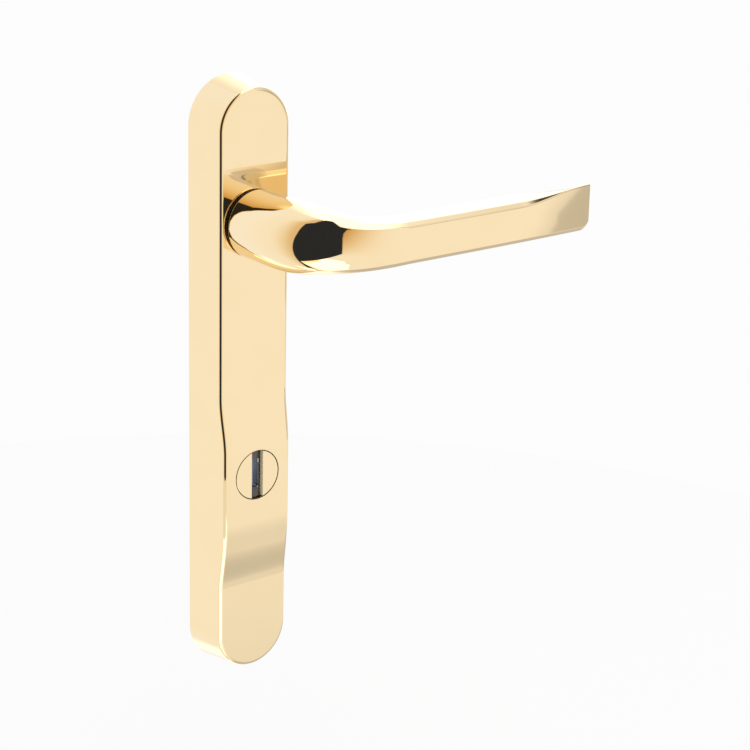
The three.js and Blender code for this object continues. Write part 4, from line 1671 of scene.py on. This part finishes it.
    def skin(self) -> tuple[list[np.ndarray], list[np.ndarray]]:
        """Rings from the collar to the tip.

        Returns:
            The rings, and the normals at their points.
        """
        step = 1e-4
        rim = self.collar_edge / (self.grip_depth - self.bend_radius - self.collar_depth)
        edge = self.tip_edge / self.grip
        tip = self.tip_back / self.grip
        places = [
            *np.linspace(rim - 1, 0, self.NECK_STEPS + 1)[:-1],
            *np.linspace(0, 1, self.BEND_STEPS + 1)[:-1],
            *np.linspace(1, 2 - tip, self.GRIP_STEPS + 1),
            *(2 - edge - (tip - edge) * (1 - np.sin(np.linspace(0, math.pi / 2, self.TIP_STEPS + 1)[1:]))),
        ]
        rings, normals = [], []
        for place in places:
            points, along = self.ring(place)
            ahead = self.ring(min(place + step, 2))[0] - self.ring(max(place - step, -1))[0]
            normal = np.cross(along, ahead)
            rings.append(points)
            normals.append(normal / np.linalg.norm(normal, axis=1)[:, None])
        turns = np.linspace(0, math.pi / 2, self.EDGE_STEPS + 1)[1:]
        side, back = normals[0], np.array([0.0, 1.0, 0.0])
        for turn in turns:
            inset = self.collar_edge * (1 - math.cos(turn))
            rings.insert(0, self.ring(rim * (1 - math.sin(turn)) - 1, inset)[0])
            normals.insert(0, side * math.cos(turn) + back * math.sin(turn))
        side, ahead = normals[-1], np.array([1.0, 0.0, 0.0])
        for turn in turns:
            inset = self.tip_edge * (1 - math.cos(turn))
            rings.append(self.ring(2 - edge + edge * math.sin(turn), inset)[0])
            normals.append(side * math.cos(turn) + ahead * math.sin(turn))
        return rings, normals

    def build(self) -> None:
        """Makes the lever and finishes the pieces that turn with it."""
        rings, normals = self.skin()
        shank_front = self.rotor_front + self.shank_overlap
        shank = Solid(rod(self.shank_radius, self.shank_back, shank_front, z=SPINDLE))
        shank.keep(bar(self.shank_flats, LONG, 0, LONG, z=SPINDLE))
        journal = rod(self.journal_radius, self.rotor_front + self.journal_gap, self.journal_front, z=SPINDLE)
        body = Solid(skinned(rings)).join(journal, shank)
        body.cut(turned(box_section(*self.clip_groove), segments=96, z=SPINDLE, closed=True))
        body.cut(bar(self.socket, self.socket, self.socket_back, self.socket_front, z=SPINDLE))
        made = body.piece("lever_handle", POLISHED_GOLD, Body.LEVER, ["lever"])
        set_normals(made.data, SurfaceNormals(np.concatenate(rings), np.concatenate(normals)))
        dress(CAST_ZINC, "rotor", "cassette_cup")
        dress(SPRING_STEEL, "shank_circlip", "return_spring")
        dress(ZINC_PLATE, "cassette_lid")


class SurfaceNormals:
    """Normals known at a set of points."""

    REACH = 2 * SEAM
    SAME_WAY = 0.8

    def __init__(self, points: np.ndarray, normals: np.ndarray) -> None:
        """Sorts the points for a search by place.

        Args:
            points: the points.
            normals: the normal at each.
        """
        self.normals = normals
        self.tree = KDTree(len(points))
        for number, point in enumerate(points):
            self.tree.insert(point, number)
        self.tree.balance()

    def __call__(self, places: np.ndarray, faces: np.ndarray) -> np.ndarray:
        """The known normals, and zeros at other places or on other faces.

        Args:
            places: points on the mesh.
            faces: the normals of the faces that they belong to.

        Returns:
            A row for each point.
        """
        result = np.zeros_like(places)
        for row, (place, face) in enumerate(zip(places, faces, strict=True)):
            _, number, distance = self.tree.find(place)
            if distance < self.REACH and self.normals[number] @ face > self.SAME_WAY:
                result[row] = self.normals[number]
        return result


# Studio


def bare_graph(owner: bpy.types.World | bpy.types.Material) -> Graph:
    """The emptied node tree of a world or a material.

    Args:
        owner: the world or the material.

    Returns:
        The tree.
    """
    owner.use_nodes = True
    owner.node_tree.nodes.clear()
    return Graph(owner.node_tree)


def grey(level: float) -> tuple[float, float, float, float]:
    """A colour without a hue."""
    return level, level, level, 1.0


@dataclass(frozen=True)
class Zone:
    """A lighter or darker part of the surroundings, with soft borders in degrees."""

    strength: float
    right_of: Point | None = None
    left_of: Point | None = None
    above: Point | None = None
    below: Point | None = None

    def level(self, azimuth: Value, elevation: Value) -> Value:
        """The zone's strength in a direction.

        Args:
            azimuth: degrees to the right of the front.
            elevation: degrees above the level.

        Returns:
            The strength inside its borders, and 0 outside.
        """
        borders = ((azimuth, self.right_of, self.left_of), (elevation, self.above, self.below))
        result: Value | float = self.strength
        for angle, start, end in borders:
            if start:
                result = result * angle.rise(*start)
            if end:
                result = result * angle.fall(*end)
        return result


@dataclass(frozen=True)
class Plane:
    """A plane through the handle that splits the surroundings, as the weights of X, Y and Z."""

    x: float
    y: float
    z: float
    soft: float = 0.012

    @classmethod
    def upright(cls, turn: float, lean: float) -> "Plane":
        """A plane turned away from the front by an angle in degrees, with a lean."""
        angle = math.radians(turn)
        return cls(math.cos(angle), -math.sin(angle), -lean)

    def past(self, x: Value, y: Value, z: Value) -> Value:
        """1 for the directions on its far side and 0 on its near side."""
        return (x * self.x + y * self.y + z * self.z).rise(-self.soft, self.soft)


@dataclass
class Studio:
    """White surroundings with a dark side, a floor and the photograph's camera."""

    GAP_LEFT = Plane.upright(73.0, lean=0.1)
    GAP_RIGHT = Plane.upright(21.0, lean=0.105)
    CARD_TOP = Plane(-1.52, 0.10, 1.0)
    CARD_BACK = Plane(-0.2126, 1.0, 0.0)
    CARD_FRONT = Plane(0.0, 1.0, -0.95, soft=0.04)
    CARD_END = (-0.23, -0.13)
    FAR_LEFT = (-150.0, -115.0)
    GAP_MIDDLE = (-50.0, -40.0)
    GAP_END = (60.0, 62.0)
    # The far left, two strips behind, overhead, low behind on both sides, and a dimmer right.
    LIGHTER = (
        Zone(0.03, left_of=FAR_LEFT),
        Zone(0.5, right_of=(112.0, 128.0), left_of=(135.0, 175.0), above=(8.0, 20.0)),
        Zone(0.4, right_of=(128.0, 134.0), left_of=(141.0, 147.0), above=(-6.0, 0.0)),
        Zone(0.8, right_of=(-5.0, 10.0), left_of=(110.0, 140.0), above=(45.0, 62.0)),
        Zone(0.55, right_of=(125.0, 150.0), below=(-52.0, -42.0)),
        Zone(0.55, left_of=(-165.0, -140.0), below=(-52.0, -42.0)),
        Zone(-0.25, right_of=(45.0, 60.0), left_of=(108.0, 120.0), above=(-24.0, -12.0), below=(35.0, 50.0)),
    )
    GROUND = Zone(0.42, right_of=(8.0, 36.0), left_of=(120.0, 150.0), below=(-9.0, 0.0))
    TABLE = Zone(0.17, right_of=(30.0, 32.0), left_of=(60.0, 75.0), below=(-30.0, -20.0))
    STREAKS = (
        Zone(0.3, right_of=(35.8, 36.8), left_of=(50.0, 60.0), above=(-13.5, -8.0), below=(12.0, 26.0)),
        Zone(0.35, right_of=(45.0, 46.5), left_of=(50.0, 60.0), above=(-13.5, -8.0), below=(12.0, 26.0)),
    )
    CORNER = Zone(0.26, right_of=(47.5, 47.56), above=(-17.5, -17.0), below=(-13.5, -12.0))
    CORNER_FRINGE = Zone(0.12, right_of=(46.3, 47.5), above=(-17.5, -17.0), below=(-13.5, -12.0))
    OVERHANG = Zone(1.15, right_of=(48.0, 55.0), left_of=(61.0, 69.0), above=(42.0, 49.5))
    LESS_BLUE = Zone(
        0.07, right_of=(95.0, 105.0), left_of=(150.0, 160.0), above=(-24.0, -18.0), below=(-6.0, -2.0)
    )

    azimuth: float = -38.603
    elevation: float = 19.016
    roll: float = 1.372
    distance: float = 0.837075
    shift: Point = (-0.052449, -0.000238)
    focal: float = 2346.123
    picture: float = 750.0
    sensor: float = 36.0
    floor_drop: float = 0.19
    floor_radius: float = 0.45
    floor_thickness: float = 0.004
    floor_colour: float = 0.4
    floor_glow: float = 0.595
    white: float = 0.98
    surroundings: float = 0.9
    panel: float = 1.03
    least: float = 0.02
    gap_colour: tuple[float, float, float] = (0.024, 0.029, 0.042)
    card_level: float = 2.0
    powers: Point = (2.15, 4.3)
    blue_share: float = 1.06
    far_left_red: float = 0.035
    far_left_blue: float = 0.06
    lamp_place: tuple[float, float, float] = (-0.25, -0.5, 0.9)
    lamp_size: float = 0.9
    lamp_power: float = 1.2

    def camera(self) -> None:
        """Places the camera where the photograph was taken."""
        azimuth, elevation, roll = (math.radians(a) for a in (self.azimuth, self.elevation, self.roll))
        back = Vector(
            (
                math.sin(azimuth) * math.cos(elevation),
                -math.cos(azimuth) * math.cos(elevation),
                math.sin(elevation),
            )
        )
        right = Vector((math.cos(azimuth), math.sin(azimuth), 0.0))
        up = back.cross(right)
        cos, sin = math.cos(roll), math.sin(roll)
        rolled_right = right * cos + up * sin
        rolled_up = up * cos - right * sin
        rotation = Matrix((rolled_right, rolled_up, back)).transposed()
        place = rotation @ Vector((-self.shift[0], -self.shift[1], self.distance))
        data = bpy.data.cameras.new("photo_camera")
        data.sensor_width = self.sensor
        data.lens = self.focal / self.picture * data.sensor_width
        camera = new_object("photo_camera", data)
        camera.matrix_world = Matrix.LocRotScale(place, rotation, None)
        bpy.context.scene.camera = camera

    def world(self) -> None:
        """Makes the surroundings: white to the eye, and panels with a dark gap in reflections."""
        world = bpy.data.worlds.new("studio")
        bpy.context.scene.world = world
        graph = bare_graph(world)
        direction = graph.node("ShaderNodeTexCoord", output="Generated")
        rays = graph.node("ShaderNodeLightPath", output="Is Camera Ray")
        mirrored = self.reflection(graph, direction)
        reflected = graph.blend(rays.other("Is Glossy Ray"), grey(self.surroundings), mirrored)
        colour = graph.blend(rays, reflected, grey(self.white))
        background = graph.node("ShaderNodeBackground", values={"Color": colour, "Strength": 1.0})
        graph.node("ShaderNodeOutputWorld", values={"Surface": background})

    def reflection(self, graph: Graph, direction: Value) -> Value:
        """What a mirror shows in each direction.

        White panels stand all round. A dark gap between the left and the right one ends at the
        table, and the panels are warmer near it.

        Args:
            graph: the world's tree.
            direction: the direction of the ray.

        Returns:
            The colour.
        """
        x = graph.node("ShaderNodeSeparateXYZ", values={"Vector": direction})
        y, z = x.other("Y"), x.other("Z")
        azimuth = graph.math("ARCTAN2", x, -y) * (180 / math.pi)
        elevation = graph.math("ARCSINE", z) * (180 / math.pi)
        past_left = self.GAP_LEFT.past(x, y, z.clamp(-1.0, 0.45))
        past_right = self.GAP_RIGHT.past(x, y, z.rise(0.42, 0.62))
        above_card, behind_card = self.CARD_TOP.past(x, y, z), self.CARD_BACK.past(x, y, z)
        gap = past_left * (1.0 - past_right) * azimuth.fall(*self.GAP_END)
        gap = gap * graph.math("MAXIMUM", above_card, behind_card)
        card = (1.0 - above_card) * (1.0 - behind_card) * x.fall(*self.CARD_END)
        card = card * self.CARD_FRONT.past(x, y, z)
        level = graph.math("MAXIMUM", self._level(graph, azimuth, elevation), card * self.card_level)
        warmth = self._warmth(azimuth, elevation)
        green, blue = (graph.math("POWER", warmth, power) for power in self.powers)
        far_left = azimuth.fall(*self.FAR_LEFT)
        red_share = 1.0 - far_left * self.far_left_red
        blue_share = self.blue_share + far_left * self.far_left_blue
        values = {"X": level * warmth * red_share, "Y": level * green, "Z": level * blue * blue_share}
        lit = graph.node("ShaderNodeCombineXYZ", values=values)
        return graph.blend(gap, lit, (*self.gap_colour, 1.0))

    def _warmth(self, azimuth: Value, elevation: Value) -> Value:
        """How little of the light beside the gap is lost, least in red and most in blue.

        Args:
            azimuth: degrees to the right of the front.
            elevation: degrees above the level.

        Returns:
            The share that is left.
        """
        beside_left = ((azimuth + 112.0) / 36.0).clamp(0.0, 1.0) * azimuth.fall(*self.GAP_MIDDLE)
        beside_right = ((30.0 - azimuth) / 50.0).clamp(0.0, 1.0) * azimuth.rise(*self.GAP_MIDDLE)
        higher = ((elevation + 32.0) / 32.0).clamp(0.0, 1.8)
        lost = 0.2 * beside_left * beside_left + 0.19 * higher * beside_right * beside_right
        return 1.0 - lost - self.LESS_BLUE.level(azimuth, elevation)

    def _level(self, graph: Graph, azimuth: Value, elevation: Value) -> Value:
        """How bright the panels and the table are.

        Args:
            graph: the world's tree.
            azimuth: degrees to the right of the front.
            elevation: degrees above the level.

        Returns:
            The brightness.
        """
        horizon = azimuth.clamp(40.0, 150.0) * 0.17 - 36.3
        ground = self.GROUND.level(azimuth, elevation - horizon)
        lower = graph.math("MAXIMUM", ground, self.TABLE.level(azimuth, elevation))
        bend = graph.math("MAXIMUM", elevation + 14.95, 0.0) * 1.9
        bend = bend - graph.math("MAXIMUM", -15.15 - elevation, 0.0) * 1.5
        beyond_bend = azimuth - bend
        fringe = self.CORNER_FRINGE.level(beyond_bend, elevation) * azimuth.rise(44.0, 46.0)
        corner = (self.CORNER.level(beyond_bend, elevation) + fringe) * azimuth.fall(60.0, 75.0)
        first, second = (streak.level(azimuth, elevation) for streak in self.STREAKS)
        darker = graph.math("MAXIMUM", lower, graph.math("MAXIMUM", corner, first + second))
        overhang = self.OVERHANG.level(azimuth, elevation) * (elevation + azimuth * 0.55).fall(84.1, 84.7)
        level = self.panel - darker - overhang
        for zone in self.LIGHTER:
            level = level + zone.level(azimuth, elevation)
        return graph.math("MAXIMUM", level, self.least)

    def floor(self) -> None:
        """Makes a pale floor that keeps a faint shadow."""
        disc = turned(box_section(0, self.floor_radius, 0, self.floor_thickness), segments=96)
        disc.transform(Matrix.Rotation(math.pi / 2, 4, "X"))
        shown = new_object("floor", cleaned(disc))
        shown.location.z = -self.floor_drop
        material = bpy.data.materials.new("floor")
        graph = bare_graph(material)
        matt = graph.node("ShaderNodeBsdfDiffuse", values={"Color": grey(self.floor_colour)})
        glow = graph.node("ShaderNodeEmission", values={"Color": grey(self.floor_glow), "Strength": 1.0})
        both = graph.node("ShaderNodeAddShader", values={0: matt, 1: glow})
        graph.node("ShaderNodeOutputMaterial", values={"Surface": both})
        shown.data.materials.append(material)
        shown.visible_glossy = False

    @staticmethod
    def upright(first: Point, second: Point, bottom: float, top: float) -> list[tuple[float, float, float]]:
        """The corners of a card that stands between two places, from one height to another."""
        return [(*first, bottom), (*second, bottom), (*second, top), (*first, top)]

    @staticmethod
    def card(name: str, corners: Sequence[Sequence[float]], strength: float) -> None:
        """Puts up a white card that is seen only in reflections.

        Args:
            name: its name.
            corners: its four corners.
            strength: its brightness, where 1 is white.
        """
        sheet = bpy.data.meshes.new(name)
        sheet.from_pydata(corners, [], [(0, 1, 2, 3)])
        shown = new_object(name, sheet)
        material = bpy.data.materials.new(name)
        graph = bare_graph(material)
        glow = graph.node("ShaderNodeEmission", values={"Color": grey(1.0), "Strength": strength})
        graph.node("ShaderNodeOutputMaterial", values={"Surface": glow})
        sheet.materials.append(material)
        shown.visible_camera = False
        shown.visible_diffuse = False
        shown.visible_shadow = False

    def lamp(self) -> None:
        """Hangs one large soft lamp over the handle."""
        data = bpy.data.lights.new("soft_lamp", "AREA")
        data.shape = "DISK"
        data.size = self.lamp_size
        data.energy = self.lamp_power
        lamp = new_object("soft_lamp", data)
        place = Vector(self.lamp_place)
        lamp.matrix_world = Matrix.LocRotScale(place, place.to_track_quat("Z", "Y"), None)
        lamp.visible_glossy = False

    def build(self) -> None:
        """Makes the surroundings."""
        self.camera()
        self.world()
        self.floor()
        left, right, near, far, height = -0.10, -0.02, -0.20, -0.072, -0.124
        corners = [(left, near, height), (right, near, height), (right, far, height), (left, far, height)]
        self.card("lying_card", corners, self.card_level)
        ends = ((-0.054, -0.024), (-0.027, -0.054))
        self.card("standing_card", self.upright(*ends, bottom=-0.15, top=-0.072), self.card_level)
        self.card("dim_card", self.upright(*ends, bottom=-0.072, top=-0.045), strength=0.9)
        rear = self.upright((0.105, 0.1), (0.32, 0.1), bottom=0.055, top=0.145)
        self.card("rear_card", rear, strength=1.9)
        self.lamp()
        bpy.context.scene.view_settings.view_transform = "Standard"


def main() -> None:
    """Builds the scene and reports each piece."""
    logging.basicConfig(level=logging.INFO, format="%(message)s")
    plates = RoundEndedTree()
    screws = ScrewTree()
    BackPlate(PlateShape(), plates).build()
    Screws(screws).build()
    Guard().build()
    Lever().build()
    Studio().build()
    for tree in (plates, screws):
        bpy.data.node_groups.remove(tree.tree)


if __name__ == "__main__":
    main()
